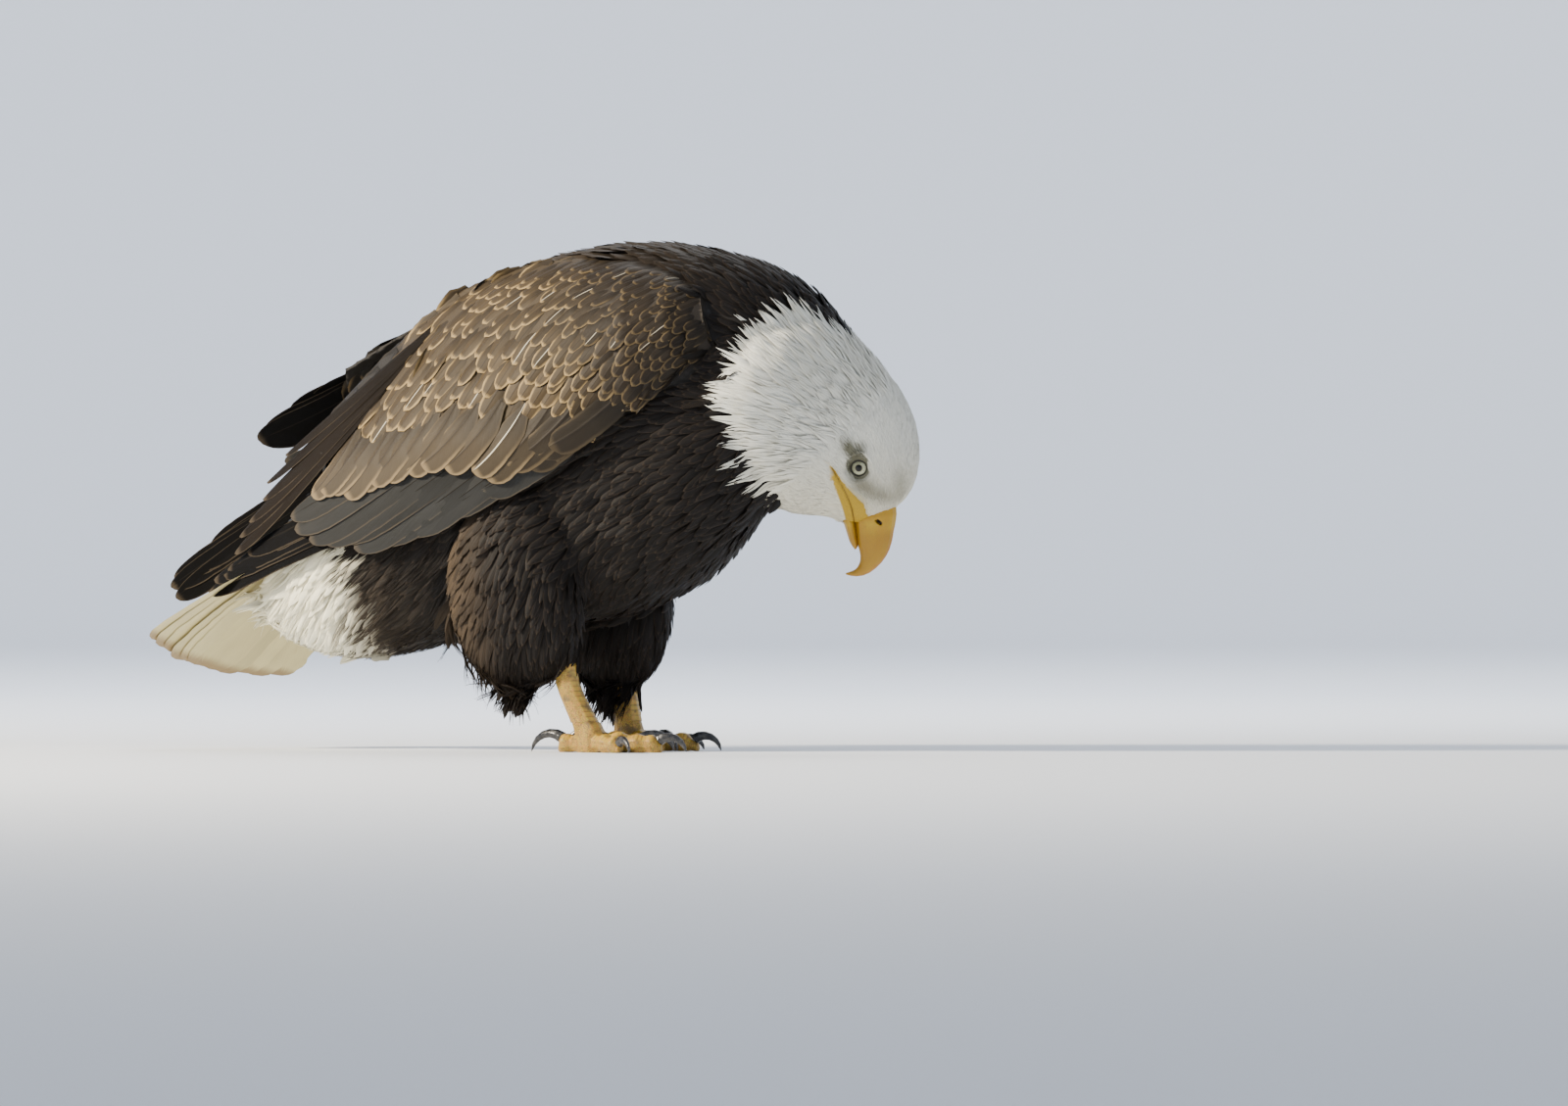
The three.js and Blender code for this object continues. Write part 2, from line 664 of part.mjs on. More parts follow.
function addTrunkWingsAndTail() {
  const neck = neckAndHead(GAP);
  const trunkRoom = trunkBody(GAP);
  const tailRoom = tailFan(GAP);
  const arms = [wingArm(WINGS.right, GAP), wingArm(WINGS.left, GAP)];
  const cut = bodyPoint(RUMP_CUT.along, RUMP_CUT.height);
  const ahead = new THREE.Vector3(Math.cos(RUMP_CUT.pitch), 0, Math.sin(RUMP_CUT.pitch));
  const inTrunk = beyond(cut.clone().addScaledVector(ahead, GAP), ahead);
  const inRump = beyond(cut, ahead.clone().negate());
  const body = trunkBody(0).subtract(neck).subtract(arms[0]).subtract(arms[1]);
  add("trunk", less(body.intersect(inTrunk)), "brown");
  add("tail_coverts", less(body.intersect(inRump)), "white");
  add("tail", less(tailFan(0), trunkRoom), "white");
  for (const [name, wing] of Object.entries(WINGS)) {
    const armRoom = wingArm(wing, GAP);
    const secondaryRoom = wingSecondaries(wing, GAP);
    const others = [neck, trunkRoom, tailRoom];
    add(`wing_${name}_arm`, less(wingArm(wing, 0), neck), "covert");
    add(`wing_${name}_secondaries`, less(wingSecondaries(wing, 0), armRoom, ...others), "flight");
    others.push(armRoom, secondaryRoom);
    add(`wing_${name}_primaries`, less(wingPrimaries(wing, 0), ...others), "flight");
  }
}

function addLegs() {
  const trunkRoom = trunkBody(GAP);
  for (const [name, leg] of Object.entries(LEGS)) {
    const armRoom = wingArm(WINGS[name], GAP);
    const secondaryRoom = wingSecondaries(WINGS[name], GAP);
    add(`thigh_${name}`, less(thigh(leg, 0), trunkRoom, armRoom, secondaryRoom), "brown");
    add(`shank_${name}`, less(shank(leg, 0), thigh(leg, GAP)), "yellow");
    const before = [shank(leg, GAP)];
    for (const toe of [TOES[2], TOES[1], TOES[3], TOES[0]]) {
      const claw = clawBody(leg, toe, GAP);
      add(`toe_${name}_${toe.number}`, less(toeBody(leg, toe, 0), claw, ...before), "yellow");
      add(`claw_${name}_${toe.number}`, less(clawBody(leg, toe, 0), ...before), "claw");
      before.push(toeBody(leg, toe, GAP));
    }
  }
}

addHeadAndNeck();
addBill();
addTrunkWingsAndTail();
addLegs();

// The frame's origin is on the floor, under the middle of the whole model.
const bounds = new THREE.Box3().setFromObject(eagle);
const middle = bounds.getCenter(new THREE.Vector3());
eagle.position.set(-middle.x, -middle.y, -bounds.min.z);

export default eagle;
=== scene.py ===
"""A life-size bald eagle, standing with its head bowed, dressed feather by feather.

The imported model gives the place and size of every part. One skin replaces the solids of flesh, and every
feather is a thin closed vane that starts on that skin and follows the lie of the coat. The long feathers of
the wings and the tail lie on smooth sheets fitted to their own solids.
"""
import logging
import math
from collections.abc import Callable, Sequence
from dataclasses import dataclass, field, replace
from enum import Enum, IntEnum

import bmesh
import bpy
import numpy as np
from bpy.types import ID, Material, Mesh, Node, NodeSocket, Object, bpy_prop_collection
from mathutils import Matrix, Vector
from mathutils.bvhtree import BVHTree
from mathutils.kdtree import KDTree


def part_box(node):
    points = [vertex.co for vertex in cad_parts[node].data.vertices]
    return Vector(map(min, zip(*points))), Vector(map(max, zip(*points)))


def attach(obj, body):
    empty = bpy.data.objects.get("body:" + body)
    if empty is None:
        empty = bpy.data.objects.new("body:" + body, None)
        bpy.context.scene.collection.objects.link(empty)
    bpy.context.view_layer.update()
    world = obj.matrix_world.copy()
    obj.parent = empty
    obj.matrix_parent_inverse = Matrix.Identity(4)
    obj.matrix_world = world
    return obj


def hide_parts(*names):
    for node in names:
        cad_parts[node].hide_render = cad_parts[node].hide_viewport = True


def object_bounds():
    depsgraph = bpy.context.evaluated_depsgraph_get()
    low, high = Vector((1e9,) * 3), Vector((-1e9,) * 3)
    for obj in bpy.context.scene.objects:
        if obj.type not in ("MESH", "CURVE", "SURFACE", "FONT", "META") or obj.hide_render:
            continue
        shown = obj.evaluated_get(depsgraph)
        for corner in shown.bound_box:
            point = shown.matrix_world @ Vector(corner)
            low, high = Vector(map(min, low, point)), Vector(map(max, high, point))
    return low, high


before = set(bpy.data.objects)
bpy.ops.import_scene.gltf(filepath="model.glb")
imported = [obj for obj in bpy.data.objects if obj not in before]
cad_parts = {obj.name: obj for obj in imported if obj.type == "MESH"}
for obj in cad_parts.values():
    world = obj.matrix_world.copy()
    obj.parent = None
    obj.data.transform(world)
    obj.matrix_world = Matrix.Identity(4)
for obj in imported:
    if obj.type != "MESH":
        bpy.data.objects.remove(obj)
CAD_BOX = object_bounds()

Array = np.ndarray
Colour = tuple[float, float, float]
Pair = tuple[float, float]

LOG = logging.getLogger("eagle")
MM = 0.001
BODY = "root"
SEED = 20


# ---------------------------------------------------------------- choices
class Side(Enum):
    """A side of the bird. The value is the sign of Y there."""

    RIGHT = -1
    LEFT = 1

    @property
    def word(self) -> str:
        """The side as the node names spell it."""
        return self.name.lower()


class Tract(IntEnum):
    """A part of the body whose feathers are of one make."""

    HEAD = 0
    NECK = 1
    BODY = 2
    RUMP = 3
    WING = 4
    THIGH = 5


TURN = {Tract.HEAD: 20.0, Tract.NECK: 12.0}
TRACT_OF_NODE = {
    "head": Tract.HEAD,
    "neck": Tract.NECK,
    "trunk": Tract.BODY,
    "tail_coverts": Tract.RUMP,
    "thigh_right": Tract.THIGH,
    "thigh_left": Tract.THIGH,
    "wing_right_arm": Tract.WING,
    "wing_left_arm": Tract.WING,
}


# ---------------------------------------------------------------- small helpers
def unit(vectors: Array) -> Array:
    """Vectors along the last axis, scaled to length one."""
    return vectors / np.maximum(np.linalg.norm(vectors, axis=-1, keepdims=True), 1e-12)


def ease(values: Array, low: float, high: float) -> Array:
    """A curve that rises smoothly from 0 at `low` to 1 at `high`, read at some values."""
    t = np.clip((np.asarray(values, float) - low) / (high - low), 0, 1)
    return t * t * (3 - 2 * t)


def bell(values: Array, width: float) -> Array:
    """A bell curve: 1 where a value is zero, and low past the width."""
    return np.exp(-((values / width) ** 2))


def in_box(node: str, share: Sequence[float]) -> Array:
    """A point in a node's box, in metres, from its shares of the way from the low to the high corner."""
    low, high = (np.array(corner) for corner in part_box(node))
    return low + (high - low) * np.array(share)


def middle_of(node: str) -> Array:
    """The middle of a node's box."""
    return in_box(node, (0.5, 0.5, 0.5))


def arm_shares(points: Array, side: Side) -> Array:
    """Where points are over a wing's arm, seen from the side: shares of its box along X and Z."""
    low, high = (np.array(corner)[[0, 2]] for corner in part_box(f"wing_{side.word}_arm"))
    return (points[:, [0, 2]] - low) / (high - low)


def rolled(left: Array, up: Array, degrees: Array) -> tuple[Array, Array]:
    """The directions across and upward of feathers, each rolled about its shaft by some degrees."""
    roll = np.radians(degrees)[:, None, None]
    return left * np.cos(roll) + up * np.sin(roll), up * np.cos(roll) - left * np.sin(roll)


def seeded(salt: int) -> np.random.Generator:
    """A source of random numbers that gives the same ones on every run."""
    return np.random.default_rng(SEED * 1000 + salt)


@dataclass(frozen=True)
class HeadFrame:
    """Axes of the head, taken from the two eyes. Points in it are (ahead, out, up) in millimetres."""

    middle: Array
    ahead: Array
    left: Array

    @classmethod
    def from_eyes(cls) -> "HeadFrame":
        """Reads the axes from the boxes of the eyes.

        Returns:
            The head's axes.
        """
        right, left = (middle_of(f"eye_{side.word}") for side in Side)
        across = unit(left - right)
        return cls((left + right) / 2, np.cross(across, (0.0, 0.0, 1.0)), across)

    def place(self, ahead: float, out: float, up: float, side: int = 1) -> Array:
        """A point of the head in the shared frame, in metres."""
        return self.middle + (self.ahead * ahead + self.left * out * side + np.array((0, 0, up))) * MM

    def measure(self, points: Array) -> tuple[Array, Array, Array]:
        """How far points are ahead of the eyes, out from the mid-plane and above them, in millimetres."""
        offset = (points - self.middle) / MM
        return offset @ self.ahead, offset @ self.left, offset[:, 2]


# ---------------------------------------------------------------- closed meshes that are worked like clay
class Clay:
    """A closed mesh whose points are pushed and smoothed before it becomes a piece."""

    def __init__(self, mesh: Mesh) -> None:
        """Takes over a mesh."""
        self.mesh = mesh
        self.read()

    @classmethod
    def of_nodes(cls, nodes: Sequence[str], voxel: float, grow: float) -> "Clay":
        """Joins CAD nodes and remeshes them finely.

        Args:
            nodes: The CAD nodes to join.
            voxel: Edge of the remesh, in metres.
            grow: How far each node swells first, so that neighbours run into each other.

        Returns:
            The clay, with only its largest shell.
        """
        joined = bmesh.new()
        for node in nodes:
            part = bmesh.new()
            part.from_mesh(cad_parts[node].data)
            bmesh.ops.remove_doubles(part, verts=part.verts, dist=1e-6)
            part.normal_update()
            for vertex in part.verts:
                vertex.co += vertex.normal * grow
            mesh = bpy.data.meshes.new("part")
            part.to_mesh(mesh)
            part.free()
            joined.from_mesh(mesh)
            bpy.data.meshes.remove(mesh)
        mesh = bpy.data.meshes.new("joined")
        joined.to_mesh(mesh)
        joined.free()
        clay = cls(with_modifier(mesh, "REMESH", mode="VOXEL", voxel_size=voxel))
        clay.keep_largest()
        clay.read()
        return clay

    def keep_largest(self) -> None:
        """Drops every separate shell but the largest, such as a pocket closed off inside."""
        form = bmesh.new()
        form.from_mesh(self.mesh)
        form.verts.ensure_lookup_table()
        label = np.full(len(form.verts), -1)
        shells = 0
        for start in form.verts:
            if label[start.index] >= 0:
                continue
            label[start.index] = shells
            stack = [start]
            while stack:
                for edge in stack.pop().link_edges:
                    for vertex in edge.verts:
                        if label[vertex.index] < 0:
                            label[vertex.index] = shells
                            stack.append(vertex)
            shells += 1
        if shells > 1:
            largest = np.bincount(label).argmax()
            spare = [vertex for vertex in form.verts if label[vertex.index] != largest]
            bmesh.ops.delete(form, geom=spare, context="VERTS")
            form.to_mesh(self.mesh)
        form.free()

    def read(self) -> None:
        """Reads the mesh into arrays."""
        mesh = self.mesh
        self.points = read_vectors(mesh.vertices, "co")
        self.edges = read_numbers(mesh.edges, "vertices", 2)
        self.links = np.bincount(self.edges.ravel(), minlength=len(self.points))[:, None]

    def write(self) -> None:
        """Puts the points back into the mesh."""
        self.mesh.vertices.foreach_set("co", self.points.ravel())
        self.mesh.update()

    def normals(self) -> Array:
        """The outward direction at each point."""
        self.write()
        return read_vectors(self.mesh.vertex_normals, "vector")

    def spread(self, values: Array) -> Array:
        """The mean of each point's neighbours.

        Args:
            values: One row for each point.

        Returns:
            An array of the same shape.
        """
        a, b = self.edges.T
        count = len(self.points)
        columns = [
            np.bincount(a, values[b, k], count) + np.bincount(b, values[a, k], count)
            for k in range(values.shape[1])
        ]
        return np.stack(columns, 1) / self.links

    def smooth(self, passes: int, free: Array | float = 1.0) -> None:
        """Smooths without shrinking: each pass draws the points in and then pushes them back.

        Args:
            passes: How many times to do it.
            free: How freely each point moves, 0 to 1.
        """
        for _ in range(passes):
            for pull in (0.5, -0.52):
                self.points += (self.spread(self.points) - self.points) * pull * free

    def push(self, amount: Array) -> None:
        """Moves each point along its normal, in metres."""
        self.points += self.normals() * amount[:, None]

    def piece(self, name: str, material: Material) -> Object:
        """Turns the clay into an object with one material."""
        self.write()
        return finished(name, self.mesh, material)


def read_vectors(items: bpy_prop_collection, name: str) -> Array:
    """Reads a property of three fractions from every item.

    Args:
        items: The items, such as a mesh's points.
        name: The property.

    Returns:
        One row for each item.
    """
    values = np.empty(len(items) * 3)
    items.foreach_get(name, values)
    return values.reshape(-1, 3)


def read_numbers(items: bpy_prop_collection, name: str, width: int) -> Array:
    """Reads a property of whole numbers from every item.

    Args:
        items: The items, such as a mesh's edges.
        name: The property.
        width: How many numbers it holds.

    Returns:
        One row for each item.
    """
    values = np.empty(len(items) * width, np.int32)
    items.foreach_get(name, values)
    return values.reshape(-1, width)


def linked(name: str, data: ID) -> Object:
    """Puts a new object into the scene.

    Args:
        name: Its name.
        data: Its mesh, lamp or camera.

    Returns:
        The object.
    """
    made = bpy.data.objects.new(name, data)
    bpy.context.collection.objects.link(made)
    return made


def finished(name: str, mesh: Mesh, material: Material) -> Object:
    """Makes a mesh into a smooth object with one material.

    Args:
        name: The object's name.
        mesh: Its mesh.
        material: Its material.

    Returns:
        The object.
    """
    mesh.name = name
    mesh.polygons.foreach_set("use_smooth", np.ones(len(mesh.polygons), bool))
    mesh.materials.append(material)
    return linked(name, mesh)


def with_modifier(mesh: Mesh, kind: str, prepare: Callable | None = None, **settings: str | float) -> Mesh:
    """Applies one modifier to a mesh.

    Args:
        mesh: The mesh, which is removed afterwards.
        kind: The modifier's type.
        prepare: What to do with the carrying object before the modifier is applied.
        settings: Properties of the modifier.

    Returns:
        The new mesh.
    """
    carrier = linked("carrier", mesh)
    modifier = carrier.modifiers.new("step", kind)
    for key, value in settings.items():
        setattr(modifier, key, value)
    if prepare:
        prepare(carrier)
    graph = bpy.context.evaluated_depsgraph_get()
    made = bpy.data.meshes.new_from_object(carrier.evaluated_get(graph))
    bpy.data.objects.remove(carrier)
    bpy.data.meshes.remove(mesh)
    return made


def set_numbers(mesh: Mesh, name: str, values: Array) -> None:
    """Stores one number, or one colour, for each point of a mesh.

    Args:
        mesh: The mesh.
        name: The attribute's name.
        values: The numbers, or rows of red, green and blue.
    """
    if values.ndim == 1:
        layer = mesh.attributes.new(name, "FLOAT", "POINT")
        layer.data.foreach_set("value", values.astype(np.float32))
    else:
        layer = mesh.attributes.new(name, "FLOAT_COLOR", "POINT")
        opaque = np.concatenate([values, np.ones((len(values), 1))], 1)
        layer.data.foreach_set("color", opaque.astype(np.float32).ravel())


def declare(piece: Object, slot: str, *nodes: str) -> None:
    """Says what a finished piece is: it rides on the body and may replace nodes, which are hidden.

    Args:
        piece: The finished object.
        slot: Not used.
        nodes: The CAD nodes that it stands for.
    """
    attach(piece, BODY)
    if nodes:
        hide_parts(*nodes)
    LOG.info("%s: %d faces", piece.name, len(piece.data.polygons))


# ---------------------------------------------------------------- finishes
Value = NodeSocket | float | Colour


class NodeMaterial:
    """A node material that is put together call by call."""

    def __init__(self, name: str) -> None:
        """Starts an empty material.

        Args:
            name: Its name.
        """
        self.material = bpy.data.materials.new(name)
        self.material.use_nodes = True
        self.tree = self.material.node_tree
        self.tree.nodes.clear()

    def node(self, kind: str, inputs: dict | None = None, **settings: str) -> Node:
        """Adds a node.

        Args:
            kind: The node's type, without its leading ShaderNode.
            inputs: Values or sockets for its inputs, by name or number.
            settings: Its properties.

        Returns:
            The node.
        """
        made = self.tree.nodes.new(f"ShaderNode{kind}")
        for key, value in settings.items():
            setattr(made, key, value)
        for key, value in (inputs or {}).items():
            if isinstance(value, NodeSocket):
                self.tree.links.new(value, made.inputs[key])
            elif isinstance(value, tuple) and made.inputs[key].type == "RGBA":
                made.inputs[key].default_value = (*value, 1.0)
            else:
                made.inputs[key].default_value = value
        return made

    def number(self, name: str) -> NodeSocket:
        """A number stored on the mesh."""
        return self.node("Attribute", attribute_name=name).outputs["Fac"]

    def colour(self, name: str) -> NodeSocket:
        """A colour stored on the mesh."""
        return self.node("Attribute", attribute_name=name).outputs["Color"]

    def place(self) -> NodeSocket:
        """Where the surface is, in metres."""
        return self.node("TexCoord").outputs["Object"]

    def math(self, operation: str, a: Value, b: Value = 0.0, c: Value = 0.0) -> NodeSocket:
        """Arithmetic on numbers."""
        return self.node("Math", {0: a, 1: b, 2: c}, operation=operation).outputs[0]

    def times(self, a: Value, b: Value) -> NodeSocket:
        """The product of two numbers."""
        return self.math("MULTIPLY", a, b)

    def rise(self, value: Value, low: float, high: float, start: float = 0.0, end: float = 1.0) -> NodeSocket:
        """A number that goes smoothly from `start` to `end` as the value goes from `low` to `high`."""
        inputs = {"Value": value, "From Min": low, "From Max": high, "To Min": start, "To Max": end}
        return self.node("MapRange", inputs, interpolation_type="SMOOTHSTEP").outputs[0]

    def mix(self, share: Value, a: Value, b: Value, blend: str = "MIX") -> NodeSocket:
        """Mixes two colours."""
        return self.node("Mix", {0: share, 6: a, 7: b}, data_type="RGBA", blend_type=blend).outputs[2]

    def noise(self, scale: float, detail: float = 3.0, vector: Value | None = None) -> NodeSocket:
        """Soft noise, 0 to 1."""
        inputs = {"Vector": vector or self.place(), "Scale": scale, "Detail": detail}
        return self.node("TexNoise", inputs).outputs["Fac"]

    def vector(self, x: Value, y: Value, z: Value = 0.0) -> NodeSocket:
        """Three numbers as one vector."""
        return self.node("CombineXYZ", {0: x, 1: y, 2: z}).outputs[0]

    def bump(self, height: Value, distance: float, strength: float) -> NodeSocket:
        """Turns a height into relief."""
        return self.node("Bump", {"Height": height, "Distance": distance, "Strength": strength}).outputs[0]

    def swing(self, value: Value, amount: float) -> NodeSocket:
        """Turns 0 to 1 into a factor that swings round 1 by an amount."""
        return self.math("MULTIPLY_ADD", value, 2 * amount, 1 - amount)

    def toned(self, colour: Value, tone: Value) -> NodeSocket:
        """Multiplies a colour by a number."""
        grey = self.node("CombineColor", {0: tone, 1: tone, 2: tone}).outputs[0]
        return self.mix(1.0, colour, grey, "MULTIPLY")

    def cells(self, scale: float) -> NodeSocket:
        """The distance to the nearest seam of a pattern of small cells."""
        pattern = {"Vector": self.place(), "Scale": scale}
        return self.node("TexVoronoi", pattern, feature="DISTANCE_TO_EDGE").outputs[0]

    def done(self, **inputs: Value) -> Material:
        """Closes the material with its surface shader.

        Args:
            inputs: The shader's inputs, with _ for a space in their names.

        Returns:
            The material.
        """
        shader = self.node("BsdfPrincipled", {key.replace("_", " "): value for key, value in inputs.items()})
        out = self.node("OutputMaterial")
        self.tree.links.new(shader.outputs[0], out.inputs[0])
        return self.material


@dataclass(frozen=True)
class FeatherFinish:
    """How the vanes of one tract are coloured. Each feather's own colour comes from the mesh."""

    name: str
    rim: Colour
    rim_share: float = 0.0
    rim_width: float = 0.12
    shaft: Colour = (0.5, 0.45, 0.36)
    shaft_share: float = 0.3
    shaft_width: float = 0.05
    # Share of feathers whose pale shafts also carry a painted highlight.
    bright_shafts: float = 0.0
    bright: Colour = (0.72, 0.66, 0.52)
    barbs: float = 60.0
    barb_slant: float = 0.32
    relief: float = 0.15
    streak: float = 0.12
    wear: float = 0.15
    # How dark the painted shade at each feather's root is.
    root_dark: float = 0.55
    roughness: float = 0.62
    sheen: float = 0.15
    gloss: float = 0.35
    tip_only: bool = False
    rim_shade_fade: Pair | None = None

    def material(self) -> Material:
        """Builds the material: barbs, shaft, pale rim, wear and painted shade towards the root.

        Returns:
            The material.
        """
        f = NodeMaterial(self.name)
        along, across = f.number("along"), f.number("across")
        out = f.math("ABSOLUTE", across)
        base = f.colour("tint")
        slant = f.math("ADD", along, f.times(out, -self.barb_slant))
        fibre = self.grain(f, slant, self.barbs, out, 1.5)
        patchy = self.grain(f, along, 3.0, across, 1.6)
        tone = f.times(f.swing(fibre, self.streak), f.swing(patchy, self.wear))
        # Painted shade: each feather darkens towards its root, where the feathers over it would shade it.
        tone = f.times(tone, f.rise(along, 0.15, 0.6, self.root_dark, 1.0))
        tone = f.times(tone, f.swing(f.noise(22.0), self.wear))
        colour = f.toned(base, tone)
        if self.rim_share > 0:
            colour = f.mix(self.rim_at(f, along, out, fibre, base), colour, self.rim)
        shaft = f.rise(out, self.shaft_width * 0.5, self.shaft_width, 1.0, 0.0)
        shaft = f.times(shaft, f.rise(along, 0.9, 0.99, self.shaft_share, 0.0))
        # A few coverts get pale shafts, light enough to stand for glints: partly their own colour, partly a
        # painted highlight.
        bright = f.math("GREATER_THAN", f.number("seed"), 1 - self.bright_shafts)
        colour = f.mix(shaft, colour, f.mix(bright, self.shaft, self.bright))
        ridge = f.rise(out, 0.0, self.shaft_width * 2.2, 1.0, 0.0)
        height = f.math("MULTIPLY_ADD", ridge, 1.2, fibre)
        return f.done(
            Base_Color=colour,
            Roughness=self.roughness,
            Sheen_Weight=self.sheen,
            Sheen_Roughness=0.4,
            Specular_IOR_Level=self.gloss,
            Normal=f.bump(height, self.relief * MM, 0.8),
        )

    def grain(self, f: NodeMaterial, x: Value, x_scale: float, y: Value, y_scale: float) -> Value:
        """Noise over two measures of the feather, different on each feather."""
        x, y = f.times(x, x_scale), f.times(y, y_scale)
        return f.noise(1.0, 2.0, f.vector(x, y, f.times(f.number("seed"), 37.0)))

    def rim_at(self, f: NodeMaterial, along: Value, out: Value, fibre: Value, base: Value) -> Value:
        """Works out how much of the pale rim shows.

        Args:
            f: The material that is being built.
            along: How far along the feather.
            out: How far out from the shaft.
            fibre: The barbs, which make the rim ragged.
            base: The feather's colour from the mesh, painted shade included: dark feathers have less of a
                rim.

        Returns:
            The rim's share, 0 to 1.
        """
        ragged = f.times(f.math("SUBTRACT", fibre, 0.5), 0.10)
        edge = f.times(f.math("SUBTRACT", 1.0, along), 2.6)
        if not self.tip_only:
            edge = f.math("SMOOTH_MIN", f.math("SUBTRACT", 1.0, out), edge, 0.08)
        edge = f.math("ADD", edge, ragged)
        rim = f.rise(edge, self.rim_width * 0.35, self.rim_width * 1.25, 1.0, 0.0)
        rim = f.times(rim, f.rise(along, 0.35, 0.75, 0.15, 1.0))
        # Painted shade: on dark feathers, such as the front of the wing, the rim fades as if in shadow.
        if self.rim_shade_fade:
            light = f.node("RGBToBW", {0: base}).outputs[0]
            rim = f.times(rim, f.rise(light, *self.rim_shade_fade, 0.22, 1.0))
        return f.times(rim, self.rim_share)


@dataclass(frozen=True)
class SkinFinish:
    """Bare skin and the down between the feathers. Its markings come from the mesh."""

    name: str = "skin"
    pores: float = 900.0
    creases: float = 1100.0
    relief: float = 0.12 * MM

    def material(self) -> Material:
        """Builds the material: the markings, fine pores and creases.

        Returns:
            The material.
        """
        f = NodeMaterial(self.name)
        spots = f.noise(self.pores)
        colour = f.toned(f.colour("tint"), f.swing(spots, 0.25))
        height = f.math("ADD", f.rise(f.cells(self.creases), 0.0, 0.2), spots)
        return f.done(
            Base_Color=colour, Roughness=0.6, Specular_IOR_Level=0.35, Normal=f.bump(height, self.relief, 0.7)
        )


@dataclass(frozen=True)
class HornFinish:
    """The bill and its cere: deep yellow horn, warmer along the ridge, with fine growth lines and painted
    shade in its hollows and nostrils.
    """

    name: str
    base: Colour
    warm: Colour
    pale: Colour
    dull: Colour = (0.33, 0.165, 0.010)
    scuffs: Colour = (0.22, 0.13, 0.03)
    hollow: Colour = (0.035, 0.022, 0.01)
    roughness: float = 0.42
    growth: float = 260.0
    relief: float = 0.06 * MM

    def material(self) -> Material:
        """Builds the material from the mesh's own numbers: `horn`, `ridge` and `shade`.

        Returns:
            The material.
        """
        f = NodeMaterial(self.name)
        cloud = f.noise(70.0, 4.0)
        fine = f.noise(900.0)
        colour = f.mix(f.rise(cloud, 0.35, 0.75), self.base, self.pale)
        colour = f.mix(f.times(f.number("horn"), 0.7), colour, self.dull)
        colour = f.mix(f.times(f.number("ridge"), 0.9), colour, self.warm)
        colour = f.mix(f.rise(fine, 0.52, 0.75, 0.0, 0.4), colour, self.scuffs)
        # Painted shade in the hollows and the nostril, from the mesh's `shade`.
        colour = f.mix(f.number("shade"), colour, self.hollow)
        wave = {"Vector": f.place(), "Scale": self.growth, "Distortion": 6.0, "Detail": 2.0}
        lines = f.node("TexWave", wave, bands_direction="DIAGONAL").outputs["Fac"]
        height = f.math("ADD", f.times(lines, 0.6), fine)
        return f.done(
            Base_Color=colour,
            Roughness=f.rise(cloud, 0.3, 0.7, self.roughness, self.roughness + 0.12),
            Coat_Weight=0.12,
            Coat_Roughness=0.25,
            Specular_IOR_Level=0.35,
            Subsurface_Weight=0.06,
            Subsurface_Scale=2 * MM,
            Normal=f.bump(height, self.relief, 0.6),
        )


@dataclass(frozen=True)
class ScaleFinish:
    """Legs and toes: yellow scales with darker seams."""

    name: str = "leg_scales"
    base: Colour = (0.42, 0.235, 0.020)
    pale: Colour = (0.50, 0.32, 0.055)
    seam: Colour = (0.085, 0.045, 0.012)
    dirt: Colour = (0.10, 0.065, 0.028)
    scales: float = 620.0
    relief: float = 0.25 * MM

    def material(self) -> Material:
        """Builds the material: small many-sided scales, with the large plates in the mesh itself.

        Returns:
            The material.
        """
        f = NodeMaterial(self.name)
        cells = f.cells(self.scales)
        tones = f.node("TexVoronoi", {"Vector": f.place(), "Scale": self.scales}).outputs["Color"]
        colour = f.mix(f.noise(60.0), self.base, self.pale)
        colour = f.mix(0.2, colour, tones, "SOFT_LIGHT")
        colour = f.mix(f.rise(f.noise(95.0, 4.0), 0.52, 0.68, 0.0, 0.75), colour, self.dirt)
        small = f.times(f.rise(cells, 0.02, 0.12, 0.75, 0.0), f.number("small"))
        colour = f.mix(small, colour, self.seam)
        colour = f.mix(f.times(f.number("plate"), 0.7), colour, self.seam)
        height = f.times(f.rise(cells, 0.0, 0.22), f.number("small"))
        height = f.math("ADD", height, f.times(f.noise(1400.0, 2.0), 0.25))
        relief = f.bump(height, self.relief, 0.9)
        return f.done(Base_Color=colour, Roughness=0.48, Coat_Weight=0.1, Coat_Roughness=0.4, Normal=relief)


@dataclass(frozen=True)
class ClawFinish:
    """Black horn, worn greyer in streaks towards the tip."""

    name: str = "claws"
    black: Colour = (0.012, 0.012, 0.014)
    worn: Colour = (0.075, 0.072, 0.07)
    relief: float = 0.08 * MM

    def material(self) -> Material:
        """Builds the material.

        Returns:
            The material.
        """
        f = NodeMaterial(self.name)
        streaks = f.noise(240.0, 4.0)
        return f.done(
            Base_Color=f.mix(f.rise(streaks, 0.4, 0.8), self.black, self.worn),
            Roughness=f.rise(streaks, 0.3, 0.8, 0.26, 0.42),
            Coat_Weight=0.35,
            Coat_Roughness=0.15,
            Normal=f.bump(streaks, self.relief, 0.5),
        )


